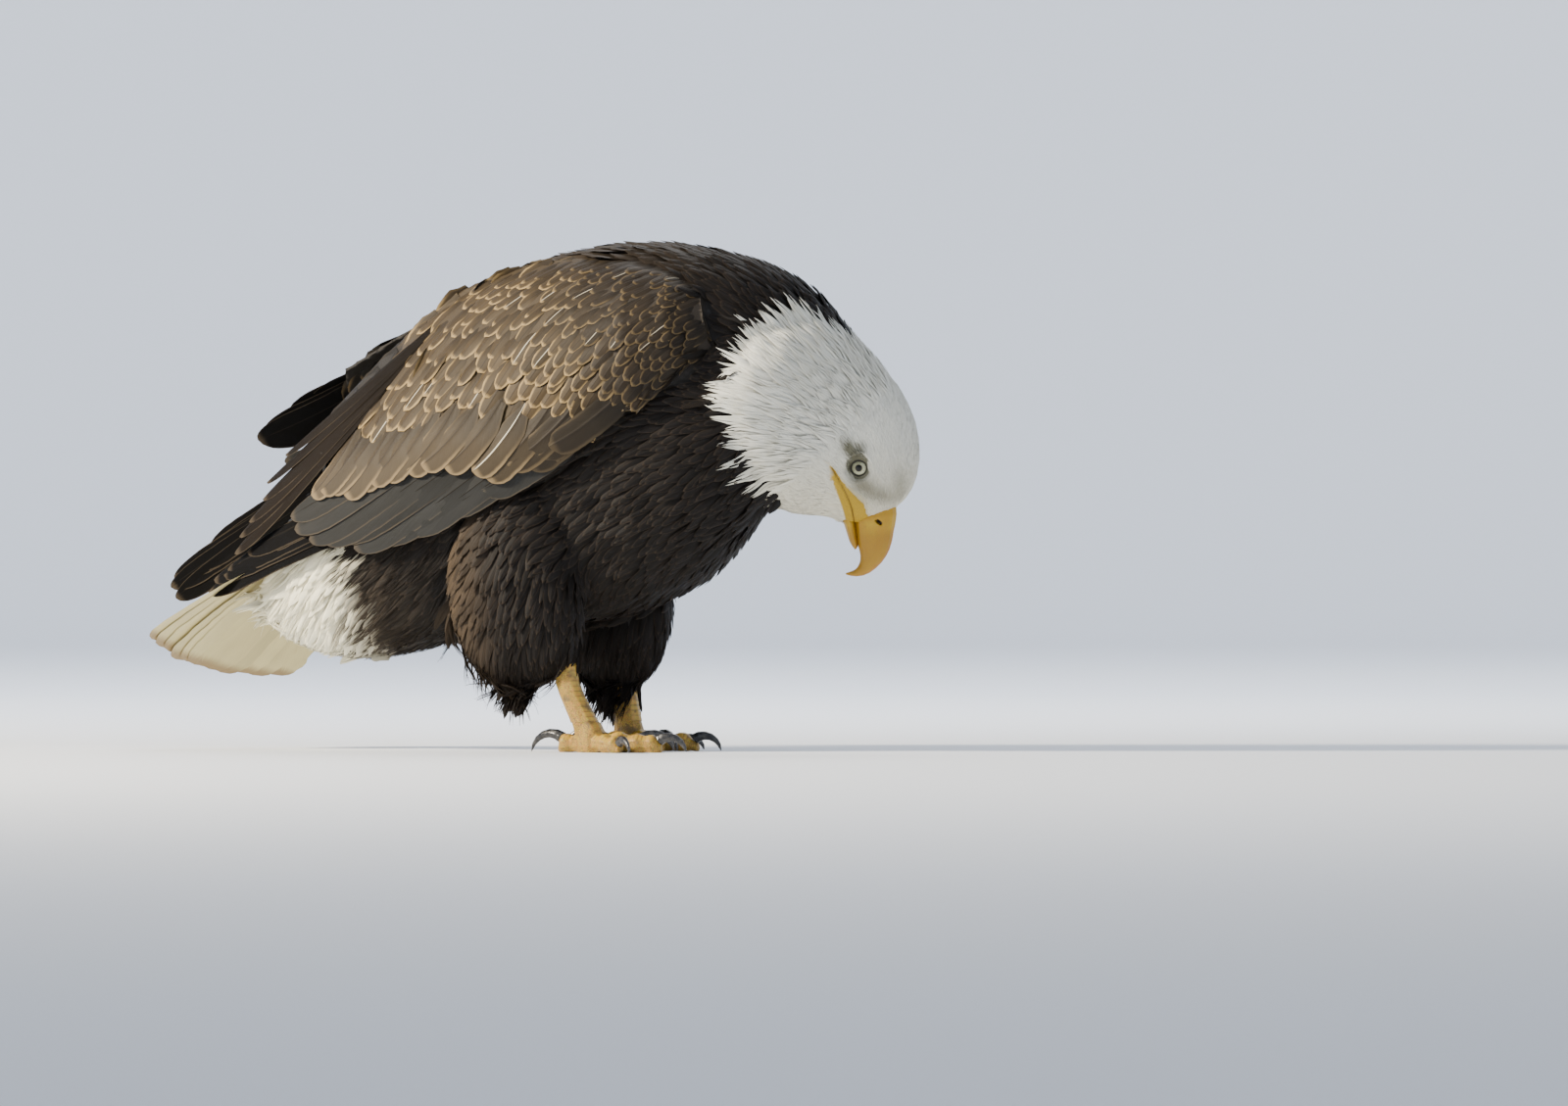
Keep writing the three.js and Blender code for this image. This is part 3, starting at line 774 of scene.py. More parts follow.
@dataclass(frozen=True)
class EyeFinish:
    """A pale iris with fine rays and a dark rim round a black pupil, under a wet surface."""

    name: str = "eyes"
    pupil: float = 0.39
    edge: float = 0.80
    black: Colour = (0.001, 0.001, 0.001)
    straw: Colour = (0.30, 0.30, 0.18)
    pale: Colour = (0.54, 0.55, 0.39)
    amber: Colour = (0.28, 0.21, 0.08)
    dusk: Colour = (0.10, 0.09, 0.06)
    rim: Colour = (0.012, 0.010, 0.010)

    def material(self) -> Material:
        """Builds the material from the mesh's own numbers: `radius` counts 1 at the iris's edge.

        Returns:
            The material.
        """
        f = NodeMaterial(self.name)
        radius = f.number("radius")
        turn = f.times(f.number("turn"), 14.0)
        rays = f.noise(1.0, 3.0, f.vector(turn, f.times(radius, 2.5)))
        iris = f.mix(f.rise(rays, 0.3, 0.7), self.straw, self.pale)
        iris = f.mix(f.rise(radius, self.pupil, self.pupil + 0.12, 0.5, 0.0), iris, self.amber)
        iris = f.mix(f.rise(radius, self.edge - 0.10, self.edge, 0.0, 0.7), iris, self.dusk)
        colour = f.mix(f.rise(radius, self.pupil - 0.02, self.pupil + 0.02), self.black, iris)
        colour = f.mix(f.rise(radius, self.edge - 0.02, self.edge + 0.05), colour, self.rim)
        wet = {"Coat_Weight": 0.45, "Coat_Roughness": 0.02, "Coat_IOR": 1.36}
        return f.done(Base_Color=colour, Roughness=0.3, Specular_IOR_Level=0.2, **wet)


@dataclass(frozen=True)
class PaperFinish:
    """The plain pale sweep that the bird stands on."""

    name: str = "paper"
    colour: Colour = (0.86, 0.89, 0.94)

    def material(self) -> Material:
        """Builds the material."""
        return NodeMaterial(self.name).done(Base_Color=self.colour, Roughness=0.9, Specular_IOR_Level=0.1)


WHITE = FeatherFinish(
    "white_feathers", rim=(0.9, 0.9, 0.88), barbs=26.0, relief=0.1, streak=0.06, wear=0.08, root_dark=0.86,
    shaft=(0.85, 0.82, 0.72), shaft_share=0.1, roughness=0.65, sheen=0.1,
)
BROWN = FeatherFinish(
    "body_feathers", rim=(0.040, 0.027, 0.017), rim_share=0.5, rim_width=0.24, barbs=46.0, streak=0.25,
    shaft=(0.006, 0.005, 0.004), shaft_share=0.7, roughness=0.6, sheen=0.02, gloss=0.15,
)
COVERT = FeatherFinish(
    "wing_coverts", rim=(0.40, 0.275, 0.12), rim_share=0.75, rim_width=0.30, barbs=60.0, streak=0.25,
    shaft=(0.020, 0.014, 0.009), shaft_share=0.8, shaft_width=0.06, bright_shafts=0.07, roughness=0.55,
    sheen=0.04, gloss=0.18, rim_shade_fade=(0.010, 0.032),
)
GREATER = replace(
    COVERT, name="greater_coverts", rim=(0.26, 0.185, 0.095), rim_share=0.65, rim_width=0.2, barbs=130.0
)
FLIGHT = FeatherFinish(
    "flight_feathers", rim=(0.11, 0.085, 0.058), rim_share=0.45, rim_width=0.08, barbs=150.0, streak=0.3,
    shaft=(0.012, 0.010, 0.008), shaft_share=0.9, shaft_width=0.045, root_dark=0.8, roughness=0.75, sheen=0.0,
    gloss=0.06,
)
TAIL = FeatherFinish(
    "tail_feathers", rim=(0.22, 0.13, 0.05), rim_share=0.8, rim_width=0.15, barbs=150.0, streak=0.10,
    shaft=(0.50, 0.38, 0.20), shaft_share=0.9, shaft_width=0.04, root_dark=0.85, roughness=0.5, sheen=0.05,
    tip_only=True,
)


# ---------------------------------------------------------------- vanes
@dataclass(frozen=True)
class VaneForm:
    """The make of a feather: its outline, how it is cut into rows and columns, and how worn its edge is."""

    rows: int
    columns: tuple[float, ...]
    tip_start: float = 0.6
    tip_power: float = 1.7
    tip_crowding: float = 1.25
    base_width: float = 0.45
    ragged: float = 0.08
    camber: float = 0.18
    thickness: float = 0.3 * MM
    shaft: float = 0.0

    def shares(self) -> Array:
        """How far along the feather each row is: 0 at the root and 1 at the tip, closer towards the tip."""
        return 1 - (1 - np.linspace(0, 1, self.rows)) ** self.tip_crowding

    def triangles(self) -> int:
        """How many triangles one feather has."""
        return 2 * (self.rows - 1) * (len(self.columns) + 1) + 2 * (len(self.columns) - 1)

    def outline(self, share: Array) -> Array:
        """The half width along the feather.

        Args:
            share: How far along, 0 to 1.

        Returns:
            Shares of the greatest half width.
        """
        swell = self.base_width + (1 - self.base_width) * ease(share, 0.0, 0.32)
        x = np.clip((share - self.tip_start) / (1 - self.tip_start), 0, 1)
        return np.maximum(swell * np.maximum(1 - x**self.tip_power, 0) ** (1 / self.tip_power), 0.015)


THREE = (-1.0, 0.0, 1.0)
FIVE = (-1.0, -0.5, 0.0, 0.5, 1.0)
SEVEN = (-1.0, -0.66, -0.3, 0.0, 0.3, 0.66, 1.0)
WITH_SHAFT = (-1.0, -0.7, -0.38, -0.07, 0.0, 0.07, 0.38, 0.7, 1.0)

HACKLE = VaneForm(7, THREE, tip_start=0.25, tip_power=1.15, ragged=0.14, camber=0.25, thickness=0.25 * MM)
DOWNY = VaneForm(6, THREE, tip_start=0.35, tip_power=1.35, ragged=0.12, camber=0.2, thickness=0.2 * MM)
CONTOUR = VaneForm(8, FIVE, tip_start=0.45, tip_power=1.7, ragged=0.12, camber=0.16)
PLUME = VaneForm(7, THREE, tip_start=0.3, tip_power=1.3, ragged=0.28, camber=0.2, thickness=0.25 * MM)
COVERT_FORM = VaneForm(9, SEVEN, tip_start=0.58, tip_power=1.9, ragged=0.04, camber=0.15)
SOFT = VaneForm(9, FIVE, tip_start=0.40, tip_power=1.5, ragged=0.20, camber=0.2)
QUILL = VaneForm(
    26, WITH_SHAFT, tip_start=0.80, tip_power=2.0, tip_crowding=1.5, ragged=0.02, camber=0.09,
    thickness=0.6 * MM, shaft=0.5 * MM,
)


@dataclass(frozen=True)
class Batch:
    """Feathers of one form, as arrays: n feathers with k rows each."""

    spine: Array
    up: Array
    left: Array
    width: Array
    tint: Array
    seed: Array
    patch: Array
    patch_size: Pair = (0.003, 0.003)
    sides: Pair = (1.0, 1.0)


def vane_faces(rows: int, columns: int) -> list[tuple[int, ...]]:
    """The faces of one closed feather.

    Args:
        rows: Points along it.
        columns: Points across its upper face. Its lower face has only the two edges and a middle line.

    Returns:
        The faces as point numbers.
    """
    under = rows * columns
    faces: list[tuple[int, ...]] = []
    for i in range(rows - 1):
        for j in range(columns - 1):
            a = i * columns + j
            faces.append((a, a + columns, a + columns + 1, a + 1))
        right, left = i * columns, i * columns + columns - 1
        faces.append((right, under + i, under + i + 1, right + columns))
        faces.append((under + i, left, left + columns, under + i + 1))
    last = (rows - 1) * columns
    for j in range(columns - 1):
        faces.append((j, j + 1, under))
        faces.append((last + j + 1, last + j, under + rows - 1))
    return faces


def vane_points(batch: Batch, form: VaneForm, rng: np.random.Generator) -> tuple[Array, Array]:
    """Places the points of every feather of a batch.

    Args:
        batch: The feathers.
        form: Their make.
        rng: Where wear on the edges comes from.

    Returns:
        Points as (feathers, points, 3), and how far across the feather each point is, -1 to 1.
    """
    count, rows = batch.spine.shape[:2]
    columns = np.array(form.columns)
    half = batch.width[:, None] / 2 * form.outline(form.shares())[None, :]
    wear = 1 - form.ragged * 2 * rng.random((count, rows, 2))
    wear = wear * np.array(batch.sides)
    reach = np.where(columns[None, None, :] < 0, wear[:, :, :1], wear[:, :, 1:])
    offset = columns[None, None, :] * half[:, :, None] * reach
    droop = -form.camber * half[:, :, None] * np.abs(columns[None, None, :]) ** 2
    rib = np.where(np.abs(columns) < 0.01, form.shaft, 0.0)[None, None, :]
    rib = rib * (1 - 0.8 * form.shares())[None, :, None]
    rib = rib + form.thickness / 2 * (1 - columns**2)[None, None, :]
    top = (
        batch.spine[:, :, None, :]
        + batch.left[:, :, None, :] * offset[..., None]
        + batch.up[:, :, None, :] * (droop + rib)[..., None]
    )
    sink = form.thickness / 2 + form.camber * half * 0.15
    bottom = batch.spine - batch.up * sink[..., None]
    points = np.concatenate([top.reshape(count, -1, 3), bottom], 1)
    across = np.concatenate([np.tile(columns, rows), np.zeros(rows)])
    return points, across


def feather_piece(name: str, batch: Batch, form: VaneForm, finish: Material, salt: int) -> Object:
    """Makes one mesh object from feathers of one form.

    Args:
        name: The piece's name.
        batch: The feathers.
        form: Their make.
        finish: Their material.
        salt: Keeps their random wear apart from that of other pieces.

    Returns:
        The object.
    """
    points, across = vane_points(batch, form, seeded(salt))
    count, each = points.shape[:2]
    faces = vane_faces(form.rows, len(form.columns))
    loops = np.concatenate([np.array(face) for face in faces])
    sizes = np.array([len(face) for face in faces])
    starts = np.concatenate([[0], np.cumsum(sizes)[:-1]])
    shift = np.arange(count)

    mesh = bpy.data.meshes.new(name)
    mesh.vertices.add(count * each)
    mesh.vertices.foreach_set("co", points.ravel())
    mesh.loops.add(count * len(loops))
    mesh.loops.foreach_set("vertex_index", (loops[None, :] + shift[:, None] * each).ravel())
    mesh.polygons.add(count * len(faces))
    mesh.polygons.foreach_set("loop_start", (starts[None, :] + shift[:, None] * len(loops)).ravel())
    mesh.update(calc_edges=True)
    sharpen_rims(mesh, form, each)

    share = form.shares()
    along = np.concatenate([np.repeat(share, len(form.columns)), share])
    set_numbers(mesh, "along", np.tile(along, count))
    set_numbers(mesh, "across", np.tile(across, count))
    set_numbers(mesh, "seed", np.repeat(batch.seed, each))
    set_numbers(mesh, "tint", np.repeat(batch.tint, each, axis=0))

    wide, high = batch.patch_size
    local = np.stack([across[loops] * wide / 2, (along[loops] - 0.5) * high], 1)
    layer = mesh.uv_layers.new(name="OFBake")
    layer.data.foreach_set("uv", (batch.patch[:, None, :] + local[None, :, :]).ravel())
    return finished(name, mesh, finish)


def sharpen_rims(mesh: Mesh, form: VaneForm, each: int) -> None:
    """Marks the rims of the feathers sharp, so that their faces are shaded apart from their undersides.

    Args:
        mesh: The feathers.
        form: Their make.
        each: How many points a feather has.
    """
    local = read_numbers(mesh.edges, "vertices", 2) % each
    columns = len(form.columns)
    upper = local < form.rows * columns
    column = np.where(upper, local % columns, -1)
    row = np.where(upper, local // columns, local - form.rows * columns)
    side = (column[:, 0] == column[:, 1]) & np.isin(column[:, 0], (0, columns - 1))
    ends = (row[:, 0] == row[:, 1]) & np.isin(row[:, 0], (0, form.rows - 1))
    layer = mesh.attributes.new("sharp_edge", "BOOLEAN", "EDGE")
    layer.data.foreach_set("value", side | ends)


# ---------------------------------------------------------------- the lie of the coat
@dataclass(frozen=True)
class Lie:
    """How the coat lies round one place: which way it points, and the size of its feathers."""

    tract: Tract
    place: Array
    heading: Array
    length: float
    width: float
    spacing: float
    depth: float


def heading(pitch: float, turn: float) -> Array:
    """A direction: degrees above straight ahead (90 is up, 180 is back), in a plane turned to the left."""
    p, t = math.radians(pitch), math.radians(turn)
    return np.array((math.cos(p) * math.cos(t), math.cos(p) * math.sin(t), math.sin(p)))


LieRow = tuple[tuple[float, float, float], float, float, float, float, float]
HEAD_LIES = [
    ((30, 0, -30), 80, 6, 1.5, 1.3, 0.6),
    ((51, 0, 10), 80, 12, 2.1, 1.7, 1.4),
    ((54, 0, 22), 92, 14, 2.3, 1.9, 1.6),
    ((40, 0, 68), 117, 19, 2.7, 2.2, 2.2),
    ((15, 0, 98), 130, 24, 3.2, 2.6, 3.0),
    ((14, 20, -25), 100, 4.2, 1.0, 1.2, 0.4),
    ((12, 24, -10), 100, 5.0, 1.1, 1.3, 0.5),
    ((14, 29, 3), 100, 8, 1.5, 1.4, 1.0),
    ((5, 33, 25), 115, 13, 2.1, 1.8, 1.6),
    ((-12, 34, 12), 130, 9, 1.8, 1.6, 1.1),
    ((-4, 30, -14), 128, 6, 1.3, 1.3, 0.6),
    ((-25, 36, 15), 142, 16, 2.4, 2.0, 2.0),
    ((-28, 32, -5), 152, 13, 2.0, 1.8, 1.4),
    ((-22, 25, -35), 166, 13, 2.0, 1.8, 1.2),
    ((-8, 10, -49), 172, 8, 1.7, 1.6, 0.8),
    ((-30, 0, -46), 175, 17, 2.5, 2.2, 2.0),
]
NECK_LIES = [
    ((0.45, 0.0, 0.93), 138, 32, 4.6, 2.9, 4.0),
    ((0.45, 0.9, 0.45), 160, 33, 4.6, 2.9, 4.0),
    ((0.40, 0.8, 0.75), 143, 33, 4.6, 2.9, 4.0),
    ((0.20, 0.8, 0.20), 192, 34, 4.8, 3.0, 4.5),
    ((0.45, 0.0, 0.00), 180, 25, 4.0, 2.7, 3.0),
    ((0.15, 0.95, 0.5), 178, 38, 5.4, 3.2, 5.0),
    ((0.15, 0.5, 0.10), 205, 36, 5.4, 3.2, 5.0),
    ((0.20, 0.3, 0.95), 135, 36, 5.4, 3.2, 5.0),
    ((0.80, 0.6, 0.50), 145, 23, 3.4, 2.5, 3.0),
]
MANTLE_LIES = [
    ((0.45, 0.0, 1.00), 140, 30, 9.0, 5.6, 5.0),
    ((0.30, 0.6, 0.95), 150, 30, 9.0, 5.6, 5.0),
    ((0.05, 0.9, 0.60), 178, 32, 9.5, 6.0, 5.5),
    ((0.05, 0.9, 0.25), 200, 32, 9.5, 6.0, 5.5),
    ((0.20, 0.3, 0.00), 205, 30, 9.0, 5.6, 5.0),
]
TRUNK_LIES = [
    ((0.75, 0.0, 0.97), 172, 38, 13, 7.6, 6),
    ((0.50, 0.0, 1.00), 182, 42, 15, 8.8, 6),
    ((0.20, 0.0, 0.85), 210, 46, 16, 9.2, 6),
    ((0.02, 0.0, 0.55), 222, 46, 16, 9.2, 6),
    ((0.85, 0.0, 0.30), 235, 34, 10.5, 6.2, 7),
    ((0.80, 0.8, 0.45), 218, 34, 10.5, 6.2, 7),
    ((0.65, 0.0, 0.10), 218, 36, 10.5, 6.2, 7),
    ((0.40, 0.0, 0.03), 195, 38, 10.5, 6.6, 7),
    ((0.08, 0.0, 0.00), 195, 42, 9.5, 6.2, 8),
    ((0.50, 0.95, 0.4), 215, 38, 11.0, 6.6, 7),
    ((0.15, 0.8, 0.25), 218, 44, 10.0, 6.6, 7),
    ((0.85, 0.8, 0.70), 200, 32, 10.0, 6.0, 6),
    ((1.00, 0.5, 0.80), 160, 30, 10.0, 6.0, 5),
]
RUMP_LIES = [
    ((0.60, 0.0, 0.85), 222, 42, 17, 9.0, 5),
    ((0.15, 0.0, 0.45), 212, 60, 20, 10.0, 5),
    ((0.44, 0.9, 0.42), 228, 52, 17, 8.0, 8),
    ((0.30, 0.9, 0.20), 236, 48, 16, 7.5, 8),
    ((0.42, 0.9, 0.08), 248, 42, 14, 6.6, 7),
    ((0.65, 0.9, 0.15), 236, 42, 13, 6.6, 7),
    ((0.85, 0.8, 0.20), 226, 44, 12, 6.6, 7),
    ((0.50, 0.0, 0.02), 200, 50, 14, 7.4, 7),
    ((0.02, 0.0, 0.20), 195, 56, 18, 9.0, 5),
]
THIGH_LIES = [
    ((0.50, 0.9, 0.85), 235, 36, 11.0, 6.2, 6),
    ((0.50, 1.0, 0.50), 250, 40, 10, 5.8, 6),
    ((0.05, 0.5, 0.50), 236, 42, 9.5, 5.6, 6),
    ((0.95, 0.5, 0.50), 262, 36, 9.5, 5.6, 6),
    ((0.60, 0.5, 0.12), 266, 42, 7.5, 4.2, 5),
    ((0.10, 0.5, 0.15), 250, 46, 7.5, 4.2, 5),
    ((0.50, 0.0, 0.50), 256, 36, 9, 6.0, 5),
]
WING_LIES = [
    ((0.95, 0.6, 0.70), 215, 22, 10.0, 6.4, 3.0),
    ((0.75, 1.0, 0.30), 240, 32, 15, 9.2, 3.5),
    ((0.75, 0.9, 0.60), 234, 30, 15, 9.2, 3.5),
    ((0.75, 0.5, 0.92), 205, 30, 14, 9.0, 3.5),
    ((0.50, 1.0, 0.30), 243, 46, 22, 13.0, 5.5),
    ((0.50, 0.8, 0.60), 240, 40, 20, 12.0, 4.0),
    ((0.50, 0.4, 0.96), 210, 36, 17, 10.5, 3.5),
    ((0.22, 0.7, 0.30), 238, 48, 22, 13.5, 3.5),
    ((0.25, 0.5, 0.60), 236, 46, 21, 13.0, 3.5),
    ((0.20, 0.2, 0.85), 222, 44, 20, 12.0, 3.0),
    ((0.50, 0.0, 0.50), 225, 34, 16, 14.0, 3.0),
]
COVERT_EDGE = (
    (1.30, -0.40), (0.84, -0.40), (0.80, 0.36), (0.66, 0.33), (0.572, 0.345), (0.482, 0.310),
    (0.394, 0.270), (0.304, 0.240), (0.240, 0.255), (0.149, 0.250), (0.100, 0.336), (0.145, 0.472),
    (0.190, 0.629), (0.210, 0.725), (0.200, 0.830), (0.000, 1.500), (1.30, 1.500),
)


def lies_at(
    tract: Tract, rows: Sequence[LieRow], place: Callable[..., Array], mirrored: bool = True
) -> list[Lie]:
    """Turns the rows of a table into lies.

    Args:
        tract: The tract that the places belong to.
        rows: A place, and then pitch, length, width, spacing and depth there.
        place: Turns the place's three numbers and a sign for the side into a point in metres.
        mirrored: True to have each row off the middle on both sides.

    Returns:
        One lie for each place.
    """
    lies = []
    for at, pitch, *sizes in rows:
        for sign in (-1, 1) if mirrored and at[1] else (1,):
            way = heading(pitch, TURN.get(tract, 0.0))
            lies.append(Lie(tract, place(*at, sign), way, *(size * MM for size in sizes)))
    return lies


def all_lies(head: HeadFrame) -> list[Lie]:
    """Gathers every place where the lie of the coat is set.

    Args:
        head: The head's axes.

    Returns:
        The lies of all tracts.
    """

    def paired(node: str) -> Callable[..., Array]:
        """Places in a node in the middle of the body: shares along X, out from the middle, and up."""
        return lambda x, out, z, sign: in_box(node, (x, 0.5 + sign * out / 2, z))

    def sided(node: str, side: Side) -> Callable[..., Array]:
        """Places in a node of one side: shares along X, outward from the body, and up."""
        return lambda x, out, z, _: in_box(node, (x, out if side is Side.LEFT else 1 - out, z))

    lies = lies_at(Tract.HEAD, HEAD_LIES, head.place)
    lies += lies_at(Tract.NECK, NECK_LIES, paired("neck"))
    lies += lies_at(Tract.BODY, MANTLE_LIES, paired("neck"))
    lies += lies_at(Tract.BODY, TRUNK_LIES, paired("trunk"))
    lies += lies_at(Tract.RUMP, RUMP_LIES, paired("tail_coverts"))
    for side in Side:
        lies += lies_at(Tract.THIGH, THIGH_LIES, sided(f"thigh_{side.word}", side), mirrored=False)
        lies += lies_at(Tract.WING, WING_LIES, sided(f"wing_{side.word}_arm", side), mirrored=False)
    return lies


class Coat:
    """The lie of the whole coat: what it does at any point is a blend of the nearest lies."""

    def __init__(self, lies: Sequence[Lie]) -> None:
        """Keeps the lies as arrays.

        Args:
            lies: The lies of all tracts.
        """
        self.places = np.array([lie.place for lie in lies])
        self.headings = np.array([lie.heading for lie in lies])
        self.sizes = np.array([(lie.length, lie.width, lie.spacing, lie.depth) for lie in lies])
        self.tracts = np.array([lie.tract for lie in lies])

    def shares(self, points: Array, tracts: Array) -> Array:
        """How much each lie counts at each point: near ones most, and those of other tracts hardly.

        Args:
            points: Points in metres.
            tracts: The number of each point's tract.

        Returns:
            One row of shares for each point.
        """
        apart = np.linalg.norm(points[:, None, :] - self.places[None, :, :], axis=2)
        weight = 1 / (apart + 4 * MM) ** 3.5
        weight *= np.where(tracts[:, None] == self.tracts[None, :], 1.0, 0.03)
        return weight / weight.sum(1, keepdims=True)

    def direction(self, points: Array, tracts: Array) -> Array:
        """Which way the coat points, before it is laid onto the skin."""
        return unit(self.shares(points, tracts) @ self.headings)

    def size(self, points: Array, tracts: Array) -> Array:
        """Length, width, spacing and depth of the coat at each point, in metres."""
        return self.shares(points, tracts) @ self.sizes


# ---------------------------------------------------------------- the face
@dataclass
class Face:
    """Bare and marked places of the head, measured in the head's own frame in millimetres."""

    head: HeadFrame
    mouth: tuple[Pair, ...] = (
        (-24.5, -1.5), (-22.0, -6.0), (-19.0, -11.0), (-15.8, -17.0), (-12.5, -23.0), (-9.6, -29.5),
        (-7.1, -37.1), (-5.6, -44.5), (-4.4, -52.3), (-1.7, -61.0),
    )
    above: tuple[float, ...] = (1.8, 2.6, 3.0, 3.3, 4.5, 7.5, 12.0, 13.0, 13.0, 13.0)
    below: tuple[float, ...] = (2.2, 4.2, 5.4, 6.6, 7.4, 7.8, 7.8, 7.4, 7.0, 6.5)
    gaze: Pair = (-1.2, -1.2)
    ball: float = 9.5
    lid: float = 6.8
    hood: float = 1.2
    lid_reach: float = 14.5
    rim_height: float = 0.75
    rim_swell: float = 0.35
    rim_groove: float = 0.45
    rim_groove_out: float = 1.7
    rim_groove_width: float = 0.35
    rim_width: float = 2.4
    brow_height: float = 2.4
    brow_radius: float = 10.2
    brow_width: float = 2.6
    eye_bare: float = 9.0
    margin_rise: float = 1.5
    margin_sink: float = 0.2
    groove_depth: float = 1.5
    groove_width: float = 0.8
    creases: tuple[tuple[float, float, float], ...] = ((2.2, 0.6, 0.35), (-3.4, 0.7, 0.3))
    yellow: Colour = (0.43, 0.27, 0.014)
    lid_colour: Colour = (0.022, 0.020, 0.014)
    orbit: Colour = (0.125, 0.120, 0.078)
    lore: Colour = (0.20, 0.185, 0.125)
    cheek: Colour = (0.50, 0.42, 0.20)
    parting: Colour = (0.10, 0.050, 0.012)

    def from_mouth(self, points: Array) -> tuple[Array, Array]:
        """Measures points against the line of the mouth.

        Args:
            points: Points in metres.

        Returns:
            The signed distance in millimetres, above the line positive, and that distance as a share of the
            fleshy margin's width there (under 1 is inside the margin).
        """
        ahead, out, up = self.head.measure(points)
        best = np.full(len(points), 1e9)
        signed = np.zeros(len(points))
        wide = np.ones(len(points))
        for k in range(len(self.mouth) - 1):
            start, end = np.array(self.mouth[k]), np.array(self.mouth[k + 1])
            run = end - start
            offset = np.stack([ahead, up], 1) - start
            t = np.clip(offset @ run / (run @ run), 0, 1)
            away = offset - t[:, None] * run
            distance = np.linalg.norm(away, axis=1)
            sign = np.where(run[0] * away[:, 1] - run[1] * away[:, 0] > 0, 1.0, -1.0)
            upper = self.above[k] + t * (self.above[k + 1] - self.above[k])
            lower = self.below[k] + t * (self.below[k + 1] - self.below[k])
            nearer = distance < best
            best = np.where(nearer, distance, best)
            signed = np.where(nearer, sign * distance, signed)
            wide = np.where(nearer, np.where(sign > 0, upper, lower), wide)
        inside = np.abs(out) > 4
        return signed, np.where(inside, best / wide, 9.0)

    def eye_axis(self, side: Side) -> Array:
        """The way an eye looks: outward, and slightly back and down to where the lids part."""
        lean = self.head.ahead * self.gaze[0] + np.array((0.0, 0.0, self.gaze[1]))
        return unit(self.head.left * side.value + lean / self.ball)

    def from_eye(self, points: Array) -> Array:
        """Measures points against the axis of the eye on their side.

        Args:
            points: Points in metres.

        Returns:
            Distances in millimetres, and a large one near the mid-plane.
        """
        ahead, out, up = self.head.measure(points)
        away = np.hypot(ahead - self.gaze[0], up - self.gaze[1])
        return np.where(np.abs(out) > 8, away, 99.0)

    def bare(self, points: Array) -> Array:
        """True where no feather grows."""
        _, margin = self.from_mouth(points)
        return (margin < 1.02) | (self.from_eye(points) < self.eye_bare)

    def part_lids(self, points: Array) -> Array:
        """Opens the lids: the skin over each eyeball becomes a raised rim round a round opening.

        Args:
            points: The skin's points in metres, with the eyeballs still under the skin.

        Returns:
            The moved points.
        """
        moved = points.copy()
        for side in Side:
            axis = self.eye_axis(side)
            centre = middle_of(f"eye_{side.word}")
            offset = (points - centre) / MM
            height = offset @ axis
            flat = offset - height[:, None] * axis
            radius = np.linalg.norm(flat, axis=1)
            near = (radius < self.lid_reach) & (height > -2.0)
            ball = np.sqrt(np.maximum(self.ball**2 - radius**2, 4.0))
            upward = flat[:, 2] / np.maximum(radius, 1e-6)
            lid = self.lid - self.hood * ease(upward, 0.35, 0.95)
            crest = np.sqrt(self.ball**2 - lid**2) + self.rim_height
            rim = crest + self.rim_swell * np.sin(np.clip((radius - lid) / self.rim_width, 0, 1) * math.pi)
            rim = rim - self.rim_groove * bell(radius - lid - self.rim_groove_out, self.rim_groove_width)
            brow = self.brow_height * bell(radius - self.brow_radius, self.brow_width)
            brow = brow * ease(upward, 0.1, 0.95)
            blend = ease(radius, lid + 1.6, self.lid_reach - 0.5)
            outside = rim * (1 - blend) + height * blend + brow
            inside = np.minimum(crest, ball - 1.6)
            shut = ease(radius, lid - 0.75, lid + 0.1)
            target = inside * (1 - shut) + outside * shut
            place = centre + (flat + target[:, None] * axis) * MM
            moved[near] = place[near]
        return moved

    def relief(self, points: Array) -> Array:
        """Shapes the fleshy margin of the mouth, with its groove and a crease on each side of it.

        Args:
            points: Points in metres.

        Returns:
            How far each point rises or sinks, in metres.
        """
        signed, margin = self.from_mouth(points)
        ridge = self.margin_rise * np.clip(1 - margin**2, 0, 1) ** 0.5 - self.margin_sink
        groove = -self.groove_depth * bell(signed, self.groove_width)
        crease = -sum(depth * bell(signed - place, width) for place, width, depth in self.creases)
        return np.where(margin < 1, ridge + groove + crease, 0.0) * MM

    def paint(self, points: Array, tint: Array) -> Array:
        """Adds the markings of the face, and painted shade under the brows, to a colour for each point.

        Args:
            points: Points in metres.
            tint: Their colours so far.

        Returns:
            The new colours.
        """
        ahead, out, up = self.head.measure(points)
        signed, margin = self.from_mouth(points)
        eye = self.from_eye(points)
        side = np.abs(out) > 8

        def spot(at: Pair, size: Pair, tilt: float = 0.0) -> Array:
            """A soft oval spot.

            Args:
                at: Its middle: ahead of the eyes and above them.
                size: How far it reaches along its own two axes.
                tilt: How far it is turned, in radians.

            Returns:
                Its strength at each point.
            """
            along = (ahead - at[0]) * math.cos(tilt) + (up - at[1]) * math.sin(tilt)
            aside = (up - at[1]) * math.cos(tilt) - (ahead - at[0]) * math.sin(tilt)
            return bell(along, size[0]) * bell(aside, size[1]) * side

        def blend(share: Array, colour: Colour) -> Array:
            """The tint so far, mixed with a colour by a share for each point."""
            share = np.clip(share, 0, 1)[:, None]
            return tint * (1 - share) + np.array(colour) * share

